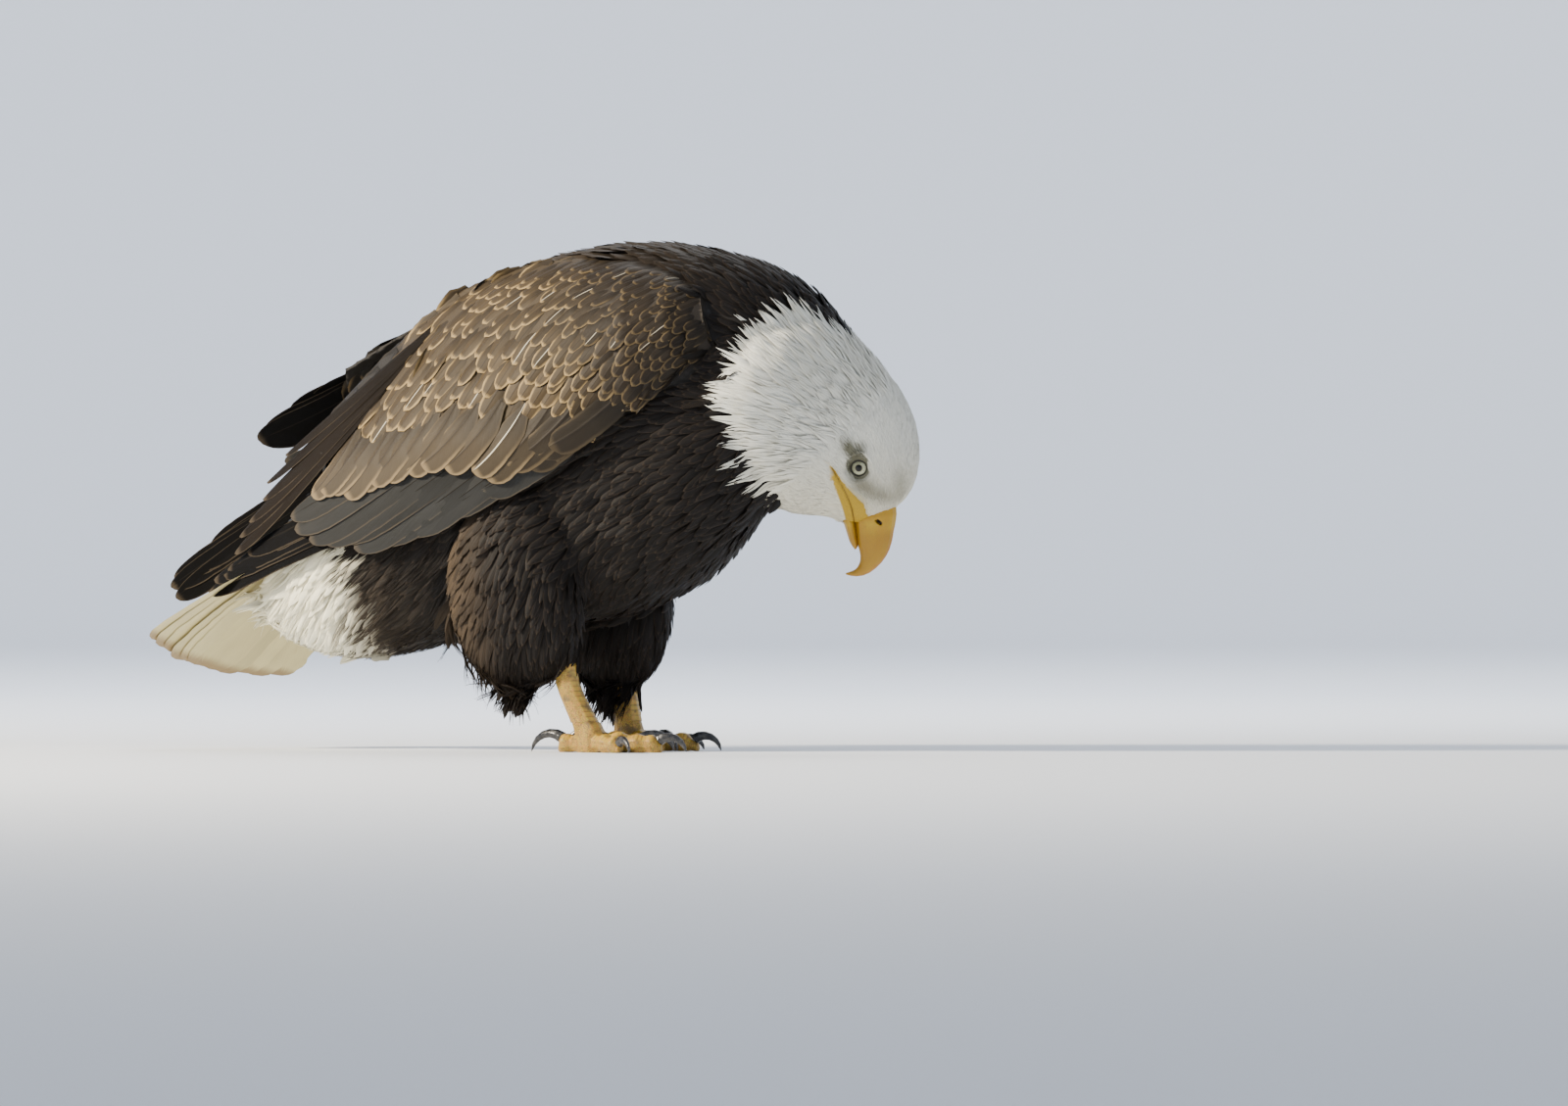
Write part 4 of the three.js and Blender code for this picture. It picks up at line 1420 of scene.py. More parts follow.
        tint = blend(spot((4, -20), (13, 9), -0.6) * 0.9, self.lore)
        tint = blend(spot((20, -28), (15, 7), -0.2) * 0.75, self.lore)
        tint = blend(spot((36, -20), (7, 13)) * 0.6, self.lore)
        # Painted shade: a dark patch above and behind each eye and a band under the brow, where the brow
        # shades the eye.
        tint = blend(spot((-5.5, 10.0), (4.8, 9.5), 0.5) * 1.3, self.orbit)
        tint = blend(spot((1.0, 10.5), (6.5, 3.6), 0.1), self.orbit)
        # The bare skin round the eye, in its own dark grey.
        tint = blend(1 - ease(eye, self.eye_bare, self.eye_bare + 2.2), self.orbit)
        tint = blend(1 - ease(eye, self.lid + 0.3, self.lid + 1.1), self.lid_colour)
        tint = blend((1 - ease(margin, 1.0, 1.5)) * 0.5 * (signed > 0), self.cheek)
        tint = blend(1 - ease(margin, 0.92, 1.06), self.yellow)
        return blend(bell(signed, 0.55) * (margin < 1) * 0.9, self.parting)


def solid_lookup(nodes: Sequence[str]) -> tuple[BVHTree, Array]:
    """Makes a search tree over some of the CAD's solids.

    Args:
        nodes: The CAD nodes.

    Returns:
        The tree, and the number of the tract of each of its faces.
    """
    points: list[Vector] = []
    faces: list[list[int]] = []
    owner: list[int] = []
    for node in nodes:
        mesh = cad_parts[node].data
        start = len(points)
        points += [vertex.co.copy() for vertex in mesh.vertices]
        faces += [[start + k for k in polygon.vertices] for polygon in mesh.polygons]
        owner += [TRACT_OF_NODE.get(node, Tract.WING)] * len(mesh.polygons)
    return BVHTree.FromPolygons(points, faces), np.array(owner)


def inside_outline(points: Array, outline: Sequence[Pair]) -> Array:
    """Tells which points of a plane are inside an outline.

    Args:
        points: One row of two measures for each point.
        outline: The corners of the outline.

    Returns:
        True for each point inside.
    """
    x, y = points.T
    inside = np.zeros(len(points), bool)
    corners = np.array(outline)
    for (x0, y0), (x1, y1) in zip(corners, np.roll(corners, -1, axis=0)):
        crosses = (y0 > y) != (y1 > y)
        at = x0 + (y - y0) * (x1 - x0) / np.where(y1 == y0, 1e-9, y1 - y0)
        inside ^= crosses & (x < at)
    return inside


# ---------------------------------------------------------------- the skin
@dataclass(frozen=True)
class Markings:
    """The colour of the coat and of the skin under it, from where a point is on the body, with painted light
    on the rear of the trousers and painted shade on the front of the wings and between the quills.
    """

    face: Face
    white: Colour = (0.70, 0.695, 0.62)
    cream: Colour = (0.66, 0.60, 0.43)
    chocolate: Colour = (0.0068, 0.0052, 0.0045)
    # Lighter brown, painted as light on the rear of the trousers.
    trousers: Colour = (0.070, 0.048, 0.028)
    smoke: Colour = (0.085, 0.066, 0.046)
    umber: Colour = (0.036, 0.025, 0.014)
    grey_brown: Colour = (0.048, 0.032, 0.0145)
    shaded_brown: Colour = (0.014, 0.0098, 0.0062)
    fluff: Colour = (0.80, 0.76, 0.58)
    quill_shade: Colour = (0.011, 0.0085, 0.0065)
    shade_margin: Pair = (0.03, 0.10)

    def tint(self, points: Array, tracts: Array) -> Array:
        """The colour at each point.

        Args:
            points: Points in metres.
            tracts: The number of each point's tract.

        Returns:
            Linear red, green and blue.
        """
        tint = np.tile(np.array(self.chocolate), (len(points), 1))

        def lay(tract: Tract, share: Array | float, colour: Colour) -> None:
            """Lays a colour over one tract, by a share from 0 to 1."""
            amount = np.where(tracts == tract, share, 0.0)[:, None]
            tint[:] = tint * (1 - amount) + np.array(colour) * amount

        x, y, z = points.T
        ahead, upward = arm_shares(points, Side.RIGHT).T
        throat_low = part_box("neck")[0][2]
        rump_front, _, rump_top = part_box("tail_coverts")[1]
        thigh_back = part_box("thigh_right")[0][0]
        throat = ease(-z, -(throat_low + 60 * MM), -throat_low)
        for tract in (Tract.HEAD, Tract.NECK):
            lay(tract, 1.0, self.white)
            lay(tract, throat * 0.5, self.cream)
        lay(Tract.RUMP, 1.0, self.fluff)
        lay(Tract.RUMP, ease(x, rump_front - 50 * MM, rump_front - 12 * MM) * 0.85, self.smoke)
        lay(Tract.RUMP, ease(z, rump_top - 100 * MM, rump_top - 60 * MM), self.umber)
        lay(Tract.BODY, ease(upward, 0.45, 0.9) * (1 - ease(ahead, 0.55, 1.1)), self.umber)
        vent = (1 - ease(x, rump_front - 10 * MM, rump_front + 55 * MM)) * (1 - ease(upward, -0.4, 0.0))
        lay(Tract.BODY, vent * 0.7, self.smoke)
        # Painted light: the rear and outer sides of the trousers are lighter brown, where the sun fell on
        # them.
        behind = 1 - ease(x, thigh_back + 10 * MM, thigh_back + 75 * MM)
        lay(Tract.THIGH, behind * (0.4 + 0.5 * ease(np.abs(y), 0.06, 0.1)), self.trousers)
        lay(Tract.WING, 1.0, self.grey_brown)
        # Darker towards the front of the wing: partly the darker lesser coverts, partly painted shade.
        front = ease(ahead + 0.2 * upward, 0.74, 0.98)
        lay(Tract.WING, front * 0.9, self.shaded_brown)
        # Painted shade: the skin that the long feathers cover is darkened to look like the shadow under the
        # quills.
        for side in Side:
            share = arm_shares(points, side)
            hidden = ~inside_outline(share + self.shade_margin, COVERT_EDGE) & (share[:, 0] < 0.75)
            lay(Tract.WING, (y * side.value > 0) & hidden, self.quill_shade)
        return self.face.paint(points, tint)


@dataclass
class Skin:
    """One skin in place of all the solids of flesh. It lies inside them by the depth of the coat."""

    coat: Coat
    face: Face
    markings: Markings
    voxel: float = 1.4 * MM
    grow: float = 0.5 * MM
    passes: int = 24
    kept_faces: float = 0.12
    fine_radius: float = 46.0
    fade_radius: float = 25.0
    fade_steps: int = 4
    refinements: tuple[Pair, ...] = ((15.5, 1.6), (13.0, 1.2))
    ruff_gap: float = 22 * MM
    shoulder_gap: float = 5 * MM
    shoulder_rise: Pair = (0.58, 0.82)
    shoulder_out: Pair = (12 * MM, 30 * MM)
    throat_fall: Pair = (-0.42, -0.20)
    throat_share: float = 0.8
    ruff_passes: int = 12
    depth_passes: int = 6
    tuck_passes: int = 10
    hem: float = 34 * MM
    hem_kept: float = 0.78
    tuck: float = 6 * MM
    unwrapped_faces: float = 0.08
    points: Array = field(init=False)
    triangles: Array = field(init=False)

    def build(self) -> "Skin":
        """Makes the skin's mesh, shapes the face in it and finds out which tract each point belongs to.

        Returns:
            The skin itself.
        """
        self.lookup = solid_lookup(tuple(TRACT_OF_NODE))
        self.ruff_tree = solid_lookup(("trunk",))[0]
        clay = Clay.of_nodes((*TRACT_OF_NODE, "eye_right", "eye_left"), self.voxel, self.grow)
        clay.smooth(self.passes)
        clay.push(-np.full(len(clay.points), self.grow))
        tracts = self.tracts_at(clay.points)
        clay.points = self.raise_hems(clay.points, tracts)
        clay.points = self.tuck_wings(clay, tracts)
        depth = self.coat.size(clay.points, tracts)[:, 3]
        depth = np.where(self.face.from_eye(clay.points) < 13, 0.0, depth)
        for _ in range(self.depth_passes):
            depth = clay.spread(depth[:, None])[:, 0]
        clay.push(-depth)
        clay.smooth(4)
        clay.write()
        thinning = {"ratio": self.kept_faces, "vertex_group": "far"}
        mesh = with_modifier(clay.mesh, "DECIMATE", self.spare_face, **thinning)
        for eye_reach, mouth_reach in self.refinements:
            self.refine_face(mesh, eye_reach, mouth_reach)
        clay = Clay(mesh)
        clay.points = self.face.part_lids(clay.points)
        clay.push(self.face.relief(clay.points))
        near_eye = self.face.from_eye(clay.points) < 15
        near_mouth = self.face.from_mouth(clay.points)[1] < 1.3
        clay.smooth(2, (near_eye | near_mouth)[:, None] * 0.8)
        clay.write()
        self.mesh = mesh
        self.read()
        return self

    def tuck_wings(self, clay: Clay, tracts: Array) -> Array:
        """Moves the parts of the wings that the long feathers cover inward, to make room for those.

        Args:
            clay: The skin as it is so far.
            tracts: The number of each point's tract.

        Returns:
            The moved points.
        """
        moved = clay.points.copy()
        for side in Side:
            here = (tracts == Tract.WING) & (clay.points[:, 1] * side.value > 0)
            tucked = (here & ~inside_outline(arm_shares(clay.points, side), COVERT_EDGE)).astype(float)
            for _ in range(self.tuck_passes):
                tucked = clay.spread(tucked[:, None])[:, 0]
            moved[:, 1] -= tucked * here * side.value * self.tuck
        return moved

    def raise_hems(self, points: Array, tracts: Array) -> Array:
        """Draws the lower ends of the trousers up, to make room for the feathers that hang from them.

        Args:
            points: The skin's points so far.
            tracts: The number of each point's tract.

        Returns:
            The moved points.
        """
        raised = points.copy()
        for side in Side:
            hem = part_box(f"thigh_{side.word}")[0][2] + self.hem
            below = (tracts == Tract.THIGH) & (points[:, 2] < hem) & (points[:, 1] * side.value > 0)
            raised[below, 2] = hem - (hem - points[below, 2]) * self.hem_kept
        return raised

    def spare_face(self, carrier: Object) -> None:
        """Makes the group of points that may be thinned, which leaves the face's fine mesh alone.

        Args:
            carrier: The object that carries the skin's mesh.
        """
        points = read_vectors(carrier.data.vertices, "co")
        away = np.linalg.norm(points - self.face.head.place(8, 0, -6), axis=1) / MM
        far = carrier.vertex_groups.new(name="far")
        steps = np.ceil(np.clip((away - self.fine_radius) / self.fade_radius, 0, 1) * self.fade_steps)
        for step in range(1, self.fade_steps + 1):
            far.add(np.nonzero(steps == step)[0].tolist(), step / self.fade_steps, "REPLACE")

    def refine_face(self, mesh: Mesh, eye_reach: float, mouth_reach: float) -> None:
        """Splits the faces round the eyes and the mouth once more.

        Args:
            mesh: The skin, which is changed.
            eye_reach: How far from an eye's axis to split, in millimetres.
            mouth_reach: How far from the mouth, as a share of its fleshy margin.
        """
        form = bmesh.new()
        form.from_mesh(mesh)
        points = np.array([vertex.co[:] for vertex in form.verts])
        _, margin = self.face.from_mouth(points)
        close = (self.face.from_eye(points) < eye_reach) | (margin < mouth_reach)
        edges = [edge for edge in form.edges if close[edge.verts[0].index] and close[edge.verts[1].index]]
        bmesh.ops.subdivide_edges(form, edges=edges, cuts=1, use_grid_fill=True)
        form.to_mesh(mesh)
        form.free()

    def tracts_at(self, points: Array) -> Array:
        """Finds each point's tract: that of the nearest solid, but the white coat ends short of the back.

        Args:
            points: Points in metres.

        Returns:
            The number of each point's tract.
        """
        tree, owner = self.lookup
        tracts = owner[[tree.find_nearest(point)[2] for point in points.tolist()]]
        white = np.nonzero(tracts == Tract.NECK)[0]
        from_trunk = np.array([self.ruff_tree.find_nearest(point)[3] for point in points[white].tolist()])
        low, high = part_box("neck")
        upward = (points[white, 2] - low[2]) / (high[2] - low[2])
        turn = math.radians(TURN[Tract.NECK])
        aside = np.abs((points[white] - middle_of("neck")) @ (-math.sin(turn), math.cos(turn), 0))
        shoulder = ease(upward, *self.shoulder_rise) * ease(aside, *self.shoulder_out)
        throat = ease(-upward, *self.throat_fall)
        short = np.maximum(shoulder, throat * self.throat_share)
        bare = self.ruff_gap + (self.shoulder_gap - self.ruff_gap) * short
        tracts[white[from_trunk < bare]] = Tract.BODY
        return tracts

    def read(self) -> None:
        """Reads the finished mesh into arrays, with a search tree and the lie of the coat."""
        mesh = self.mesh
        mesh.calc_loop_triangles()
        self.points = read_vectors(mesh.vertices, "co")
        self.normals = read_vectors(mesh.vertex_normals, "vector")
        self.triangles = read_numbers(mesh.loop_triangles, "vertices", 3)
        self.tree = BVHTree.FromPolygons(self.points.tolist(), self.triangles.tolist())
        self.tracts = self.tracts_at(self.points)
        self.even_ruff()

    def even_ruff(self) -> None:
        """Smooths the line where the white coat ends, so that it leaves no islands."""
        kinds = (Tract.NECK, Tract.BODY)
        shares = np.stack([self.tracts == kind for kind in kinds], 1).astype(float)
        clay = Clay(self.mesh)
        for _ in range(self.ruff_passes):
            shares = clay.spread(shares)
        either = np.isin(self.tracts, kinds)
        self.tracts[either] = np.where(shares[either, 0] > shares[either, 1], *kinds)

    def nearest(self, points: Array) -> tuple[Array, Array, Array]:
        """The skin nearest to each point.

        Args:
            points: Points in metres.

        Returns:
            The nearest points, the smooth normals there and the numbers of their tracts.
        """
        found = [self.tree.find_nearest(point) for point in points.tolist()]
        place = np.array([hit[0][:] for hit in found])
        corners = self.triangles[[hit[2] for hit in found]]
        return place, unit(self.normals[corners].mean(1)), self.tracts[corners[:, 0]]

    def unwrap(self) -> None:
        """Unwraps a coarse copy of the skin, to give every feather its place on an unwrap of the skin."""
        coarse = with_modifier(self.mesh.copy(), "DECIMATE", ratio=self.unwrapped_faces)
        carrier = linked("unwrap", coarse)
        bpy.context.view_layer.objects.active = carrier
        carrier.select_set(True)
        bpy.ops.object.mode_set(mode="EDIT")
        bpy.ops.mesh.select_all(action="SELECT")
        bpy.ops.uv.smart_project(angle_limit=math.radians(66), island_margin=0.004)
        bpy.ops.object.mode_set(mode="OBJECT")
        coarse.calc_loop_triangles()
        points = read_vectors(coarse.vertices, "co")
        uv = np.empty(len(coarse.loops) * 2)
        coarse.uv_layers.active.data.foreach_get("uv", uv)
        corners = read_numbers(coarse.loop_triangles, "vertices", 3)
        self.flat_uv = uv.reshape(-1, 2)[read_numbers(coarse.loop_triangles, "loops", 3)]
        self.flat_corners = points[corners]
        self.flat_tree = BVHTree.FromPolygons(points.tolist(), corners.tolist())
        bpy.data.objects.remove(carrier)

    def flat_place(self, points: Array) -> Array:
        """Finds where each point falls on the unwrap of the skin.

        Args:
            points: Points in metres.

        Returns:
            Its two coordinates there.
        """
        found = [self.flat_tree.find_nearest(point) for point in points.tolist()]
        index = np.array([hit[2] for hit in found])
        place = np.array([hit[0][:] for hit in found])
        a, b, c = (self.flat_corners[index, k] for k in range(3))
        whole = np.linalg.norm(np.cross(b - a, c - a), axis=1) + 1e-15
        opposite = ((b, c), (c, a), (a, b))
        parts = [np.linalg.norm(np.cross(p - place, q - place), axis=1) for p, q in opposite]
        share = np.stack(parts, 1) / whole[:, None]
        share /= share.sum(1, keepdims=True)
        return (self.flat_uv[index] * share[:, :, None]).sum(1)

    def dress(self) -> None:
        """Colours the skin and makes it a piece."""
        set_numbers(self.mesh, "tint", self.markings.tint(self.points, self.tracts))
        declare(finished("skin", self.mesh, SkinFinish().material()), "body_feathers", *TRACT_OF_NODE)


# ---------------------------------------------------------------- the coat
OVERSHOOT = {
    Tract.HEAD: 2.5 * MM, Tract.NECK: 6 * MM, Tract.BODY: 5 * MM, Tract.RUMP: 9 * MM, Tract.WING: 5 * MM,
    Tract.THIGH: 18 * MM,
}


def near_lookup(points: Array) -> KDTree:
    """Makes a search tree over points.

    Args:
        points: Points in metres.

    Returns:
        The tree.
    """
    tree = KDTree(len(points))
    for k, point in enumerate(points.tolist()):
        tree.insert(point, k)
    tree.balance()
    return tree


@dataclass(frozen=True)
class Grooming:
    """How the feathers of one piece vary and gather."""

    length: float = 1.0
    width: float = 1.0
    lift: float = 1.0
    curl: float = 0.0
    lean: float = 6.0
    roll: float = 7.0
    tuft: float = 0.0
    gather: float = 0.0
    tuft_lengths: float = 0.0
    tone: float = 0.14


@dataclass
class Plumage:
    """Feathers that grow out of the skin, tract by tract."""

    skin: Skin
    coat: Coat
    markings: Markings
    face: Face
    tries: float = 5.0
    head_closeness: float = 0.88
    quick_spacing: float = 1.7
    heaviest: int = 180_000
    clear_of_floor: float = 24 * MM
    stray_tip: float = 4 * MM
    ridge_flattening: float = 0.75
    length_spread: Pair = (0.86, 1.12)
    width_spread: Pair = (0.88, 1.12)
    ground_turn: Pair = (0.45, 0.85)
    ground_reach: Pair = (3 * MM, 9 * MM)
    eye_margin: float = 1.4
    eye_reaches: Pair = (0.6, 1.2)
    tip_share: float = 0.9
    clearance: float = 2.5 * MM
    facing_out: float = 0.05
    facing_up: float = 0.6
    facing_ahead: float = 0.35
    ahead_out: float = -0.3
    inner_face: float = -0.2
    rim_turn: float = 0.4
    least_room: float = 0.4
    root_sink: float = 0.12
    tip_lift: float = 1.06
    tone_limit: float = 1.6
    cover_reach: float = 60 * MM
    sunk: float = 5 * MM
    solid_over: float = 9 * MM
    turned_from: float = 0.2

    def sow(self) -> "Plumage":
        """Chooses the roots: spread evenly by chance, closer where the feathers are smaller.

        Returns:
            The plumage itself.
        """
        skin = self.skin
        rng = seeded(1)
        a, b, c = (skin.points[skin.triangles[:, k]] for k in range(3))
        area = np.linalg.norm(np.cross(b - a, c - a), axis=1) / 2
        middle = (a + b + c) / 3
        tracts = skin.tracts[skin.triangles[:, 0]]
        spacing = self.coat.size(middle, tracts)[:, 2] * 1.0
        spacing *= np.where(tracts == Tract.HEAD, self.head_closeness, 1.0)
        weight = area / spacing**2
        total = int(weight.sum() * self.tries)
        pick = rng.choice(len(weight), total, p=weight / weight.sum())
        u, v = rng.random(total), rng.random(total)
        over = u + v > 1
        u, v = np.where(over, 1 - u, u), np.where(over, 1 - v, v)
        place = a[pick] + (b - a)[pick] * u[:, None] + (c - a)[pick] * v[:, None]
        normal = unit(skin.normals[skin.triangles[pick]].mean(1))
        gap = spacing[pick]
        open_spot = ~self.face.bare(place)
        tree = near_lookup(place)
        chosen = []
        for k in range(total):
            if not open_spot[k]:
                continue
            chosen.append(k)
            near = [hit[1] for hit in tree.find_range(place[k], gap[k])]
            same = normal[near] @ normal[k] > 0.2
            open_spot[np.array(near)[same]] = False
        self.roots, self.normals, self.tracts = place[chosen], normal[chosen], tracts[pick][chosen]
        self.solids = solid_lookup(tuple(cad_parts))[0]
        kept = self.worth_growing()
        LOG.info("sown: %d feathers, of which %d can be seen", len(chosen), kept.sum())
        self.roots, self.normals, self.tracts = self.roots[kept], self.normals[kept], self.tracts[kept]
        return self

    def worth_growing(self) -> Array:
        """Weeds out feathers that are shut in between solids, cross the eye, or hide or stick in the wings.

        Returns:
            True for each root that is kept.
        """
        sizes = self.coat.size(self.roots, self.tracts)
        way = self.laid(self.coat.direction(self.roots, self.tracts), self.normals, self.tracts)
        tips = self.roots + way * sizes[:, :1] * self.tip_share
        out = self.normals * (sizes[:, 3:] + self.clearance)
        shut = self.covered(self.roots + out, self.normals) & self.covered(tips + out, self.normals)
        kept = ~shut
        for reach in self.eye_reaches:
            from_eye = self.face.from_eye(self.roots + way * sizes[:, :1] * reach)
            kept &= (from_eye >= self.face.lid + self.eye_margin) | (self.tracts != Tract.HEAD)
        barred = [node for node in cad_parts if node.startswith("wing_") or node == "tail"]
        barrier = solid_lookup(barred)[0]
        for k in np.nonzero(kept & (self.tracts != Tract.WING))[0]:
            run = tips[k] - self.roots[k]
            kept[k] = barrier.ray_cast(self.roots[k] + out[k], run, np.linalg.norm(run))[0] is None
        for side in Side:
            here = (self.tracts == Tract.WING) & (self.roots[:, 1] * side.value > 0)
            outward = self.normals[:, 1] * side.value
            facing = (outward > self.facing_out) | ((self.normals[:, 2] > self.facing_up) & (outward > 0))
            facing |= (self.normals[:, 0] > self.facing_ahead) & (outward > self.ahead_out)
            over_coverts = inside_outline(arm_shares(tips, side), COVERT_EDGE)
            kept &= ~here | (over_coverts & facing) | (outward < self.inner_face)
        turned_in = self.normals[:, 1] * np.sign(self.roots[:, 1]) < self.rim_turn
        on_rim = (self.tracts == Tract.WING) & ((self.normals[:, 2] > self.rim_turn) | turned_in)
        for k in np.nonzero(kept & on_rim)[0]:
            near, normal, _, away = self.solids.find_nearest(tips[k])
            kept[k] = away < self.stray_tip or normal.dot(Vector(tips[k]) - near) < 0
        return kept

    def covered(self, points: Array, ways: Array) -> Array:
        """Tells which points are inside a solid, or have one close over them.

        Args:
            points: Points in metres.
            ways: The outward direction at each.

        Returns:
            True for each covered point.
        """
        found = np.zeros(len(points), bool)
        for k, (point, way) in enumerate(zip(points.tolist(), ways)):
            place, normal, _, away = self.solids.ray_cast(point, way, self.cover_reach)
            if place is not None:
                found[k] = away > self.sunk if normal.dot(Vector(way)) > 0 else away < self.solid_over
        return found

    def laid(self, way: Array, up: Array, tracts: Array) -> Array:
        """Lays directions flat onto the skin so that they still look the same from the bird's side.

        Args:
            way: The directions wanted.
            up: The skin's normals.
            tracts: The number of each point's tract.

        Returns:
            Unit vectors along the skin.
        """
        turns = np.radians([TURN.get(tract, 0.0) for tract in Tract])[tracts]
        sideways = np.stack([-np.sin(turns), np.cos(turns), np.zeros(len(turns))], 1)
        facing = (up * sideways).sum(1)
        lean = -(way * up).sum(1) * facing / (facing**2 + 0.15)
        way = way + sideways * lean[:, None]
        return unit(way - (way * up).sum(1, keepdims=True) * up)

    def tufts(self, members: Array, spacing: float, rng: np.random.Generator) -> Array:
        """Gathers feathers into tufts.

        Args:
            members: Numbers of the roots.
            spacing: How far apart the middles of tufts are, in metres.
            rng: Chooses the middles.

        Returns:
            For each feather the place in `members` of the feather at the middle of its tuft.
        """
        roots = self.roots[members]
        tree = near_lookup(roots)
        owner = np.full(len(roots), -1)
        nearest = np.full(len(roots), 1e9)
        for k in rng.permutation(len(roots)):
            if owner[k] >= 0 and nearest[k] < spacing * 0.75:
                continue
            for _, other, away in tree.find_range(roots[k], spacing):
                if away < nearest[other]:
                    owner[other], nearest[other] = k, away
        return owner

    def trace(
        self, roots: Array, up: Array, tracts: Array, way: Array, length: Array, share: Array
    ) -> tuple[Array, Array, Array]:
        """Follows the lie of the coat over the skin from each root. Past an edge a feather runs on straight.

        Args:
            roots: Where the feathers start.
            up: The skin's normals there.
            tracts: The numbers of their tracts.
            way: Which way they start.
            length: How long they are, in metres.
            share: How far along the feather each row is.

        Returns:
            Places, upward directions and forward directions: (feathers, rows, 3) each.
        """
        place = roots.copy()
        places, ups, ways = [place], [up], [way]
        for k in range(1, len(share)):
            stride = (length * (share[k] - share[k - 1]))[:, None]
            ahead = place + way * stride
            ground, ground_up, _ = self.skin.nearest(ahead)
            hold = ease((ground_up * up).sum(1), *self.ground_turn)[:, None]
            hold = hold * (1 - ease(np.linalg.norm(ahead - ground, axis=1), *self.ground_reach))[:, None]
            place = place + unit(ahead * (1 - hold) + ground * hold - place) * stride
            up = unit(up * (1.15 - hold) + ground_up * hold)
            pull = self.laid(self.coat.direction(place, tracts), up, tracts)
            way = way + pull * (0.25 + 0.5 * hold)
            way = unit(way - (way * up).sum(1, keepdims=True) * up)
            places.append(place)
            ups.append(up)
            ways.append(way)
        return np.stack(places, 1), np.stack(ups, 1), np.stack(ways, 1)

    def room(self, spine: Array, share: Array, tracts: Array) -> Array:
        """How much of each feather's length stays near the outline of the CAD's solids.

        Args:
            spine: The feathers' places, as (feathers, rows, 3).
            share: How far along the feather each row is.
            tracts: The numbers of their tracts.

        Returns:
            The share of the length, at most 1.
        """
        limit = np.array([OVERSHOOT[tract] for tract in Tract])[tracts]
        allowed = np.ones(len(spine))
        before = np.zeros(len(spine))
        for k in range(1, spine.shape[1]):
            away = np.empty(len(spine))
            for n, point in enumerate(spine[:, k].tolist()):
                near, normal, _, distance = self.solids.find_nearest(point)
                away[n] = distance if normal.dot(Vector(point) - near) > 0 else 0.0
            away = np.where(spine[:, k, 2] < self.clear_of_floor, 2 * limit, away)
            crossing = (away > limit) & (before <= limit) & (allowed == 1)
            part = (limit - before) / np.maximum(away - before, 1e-9)
            allowed = np.where(crossing, share[k - 1] + (share[k] - share[k - 1]) * part, allowed)
            before = away
        return allowed

    def grow(self, members: Array, form: VaneForm, grooming: Grooming, salt: int) -> Batch:
        """Grows chosen feathers.

        Args:
            members: Numbers of the roots to use.
            form: The feathers' make.
            grooming: How they vary and gather.
            salt: Keeps their small differences apart from those of other pieces.

        Returns:
            The feathers.
        """
        rng = seeded(salt)
        roots, up, tracts = self.roots[members], self.normals[members], self.tracts[members]
        count = len(members)
        sizes = self.coat.size(roots, tracts)
        length = sizes[:, 0] * grooming.length * rng.uniform(*self.length_spread, count)
        width = sizes[:, 1] * grooming.width * rng.uniform(*self.width_spread, count)
        depth = sizes[:, 3] * grooming.lift * rng.uniform(*self.width_spread, count)
        on_wing = tracts == Tract.WING
        depth = depth * (1 - self.ridge_flattening * on_wing * ease(up[:, 2], 0.25, 0.6))
        middle = self.tufts(members, grooming.tuft, rng) if grooming.tuft else np.arange(count)
        if grooming.tuft:
            length = length * (1 + grooming.tuft_lengths * rng.uniform(-1, 0.6, count)[middle])
        share = form.shares()
        way = self.laid(self.coat.direction(roots, tracts), up, tracts)
        turn = np.radians(rng.normal(0, grooming.lean, count))[:, None]
        way = unit(way * np.cos(turn) + np.cross(up, way) * np.sin(turn))
        places, _, _ = self.trace(roots, up, tracts, way, length, share)
        length = length * np.maximum(self.room(places, share, tracts), self.least_room)
        places, ups, ways = self.trace(roots, up, tracts, way, length, share)
        lift = depth[:, None] * (-self.root_sink + self.tip_lift * share[None, :] ** 0.75)
        lift = lift + grooming.curl * length[:, None] * share[None, :] ** 4
        spine = places + ups * lift[..., None]
        if grooming.tuft:
            aside = spine[middle] - spine
            aside -= (aside * ways).sum(2, keepdims=True) * ways
            spine = spine + aside * (grooming.gather * share**1.6)[None, :, None]
            ways = unit(np.gradient(spine, axis=1))
            ups = unit(ups - (ups * ways).sum(2, keepdims=True) * ways)
        left, up = rolled(np.cross(ups, ways), ups, rng.normal(0, grooming.roll, count))
        tint = self.markings.tint(roots, tracts)
        tone = rng.normal(0, 1, (count, 1)).clip(-self.tone_limit, self.tone_limit)
        tint = tint * (1 + grooming.tone * tone)
        return Batch(spine, up, left, width, tint, rng.random(count), self.skin.flat_place(roots))

    def members(self, *tracts: Tract) -> Array:
        """The numbers of the roots in some tracts."""
        return np.nonzero(np.isin(self.tracts, tracts))[0]

    def piece(
        self, name: str, members: Array, form: VaneForm, finish: Material, slot: str, grooming: Grooming,
        salt: int,
    ) -> None:
        """Grows feathers and makes them pieces: one for each side, and more where one would be too heavy.

        Args:
            name: What the pieces are called.
            members: Numbers of the roots to use.
            form: The feathers' make.
            finish: Their material.
            slot: The record's material slot.
            grooming: How they vary and gather.
            salt: Keeps their small differences apart from those of other pieces.
        """
        roots = self.roots[members]
        out = roots[:, 1] if roots[:, 0].mean() < self.turned_from else self.face.head.measure(roots)[1]
        for side in Side:
            half = members[out * side.value > 0]
            half = half[np.argsort(self.roots[half][:, 0])]
            parts = math.ceil(len(half) * form.triangles() / self.heaviest)
            for number, part in enumerate(np.array_split(half, max(parts, 1))):
                batch = self.grow(part, form, grooming, salt + number + (10 if side is Side.LEFT else 0))
                title = f"{name}_{side.word}" + (f"_{number + 1}" if number else "")
                declare(feather_piece(title, batch, form, finish, salt + number), slot)

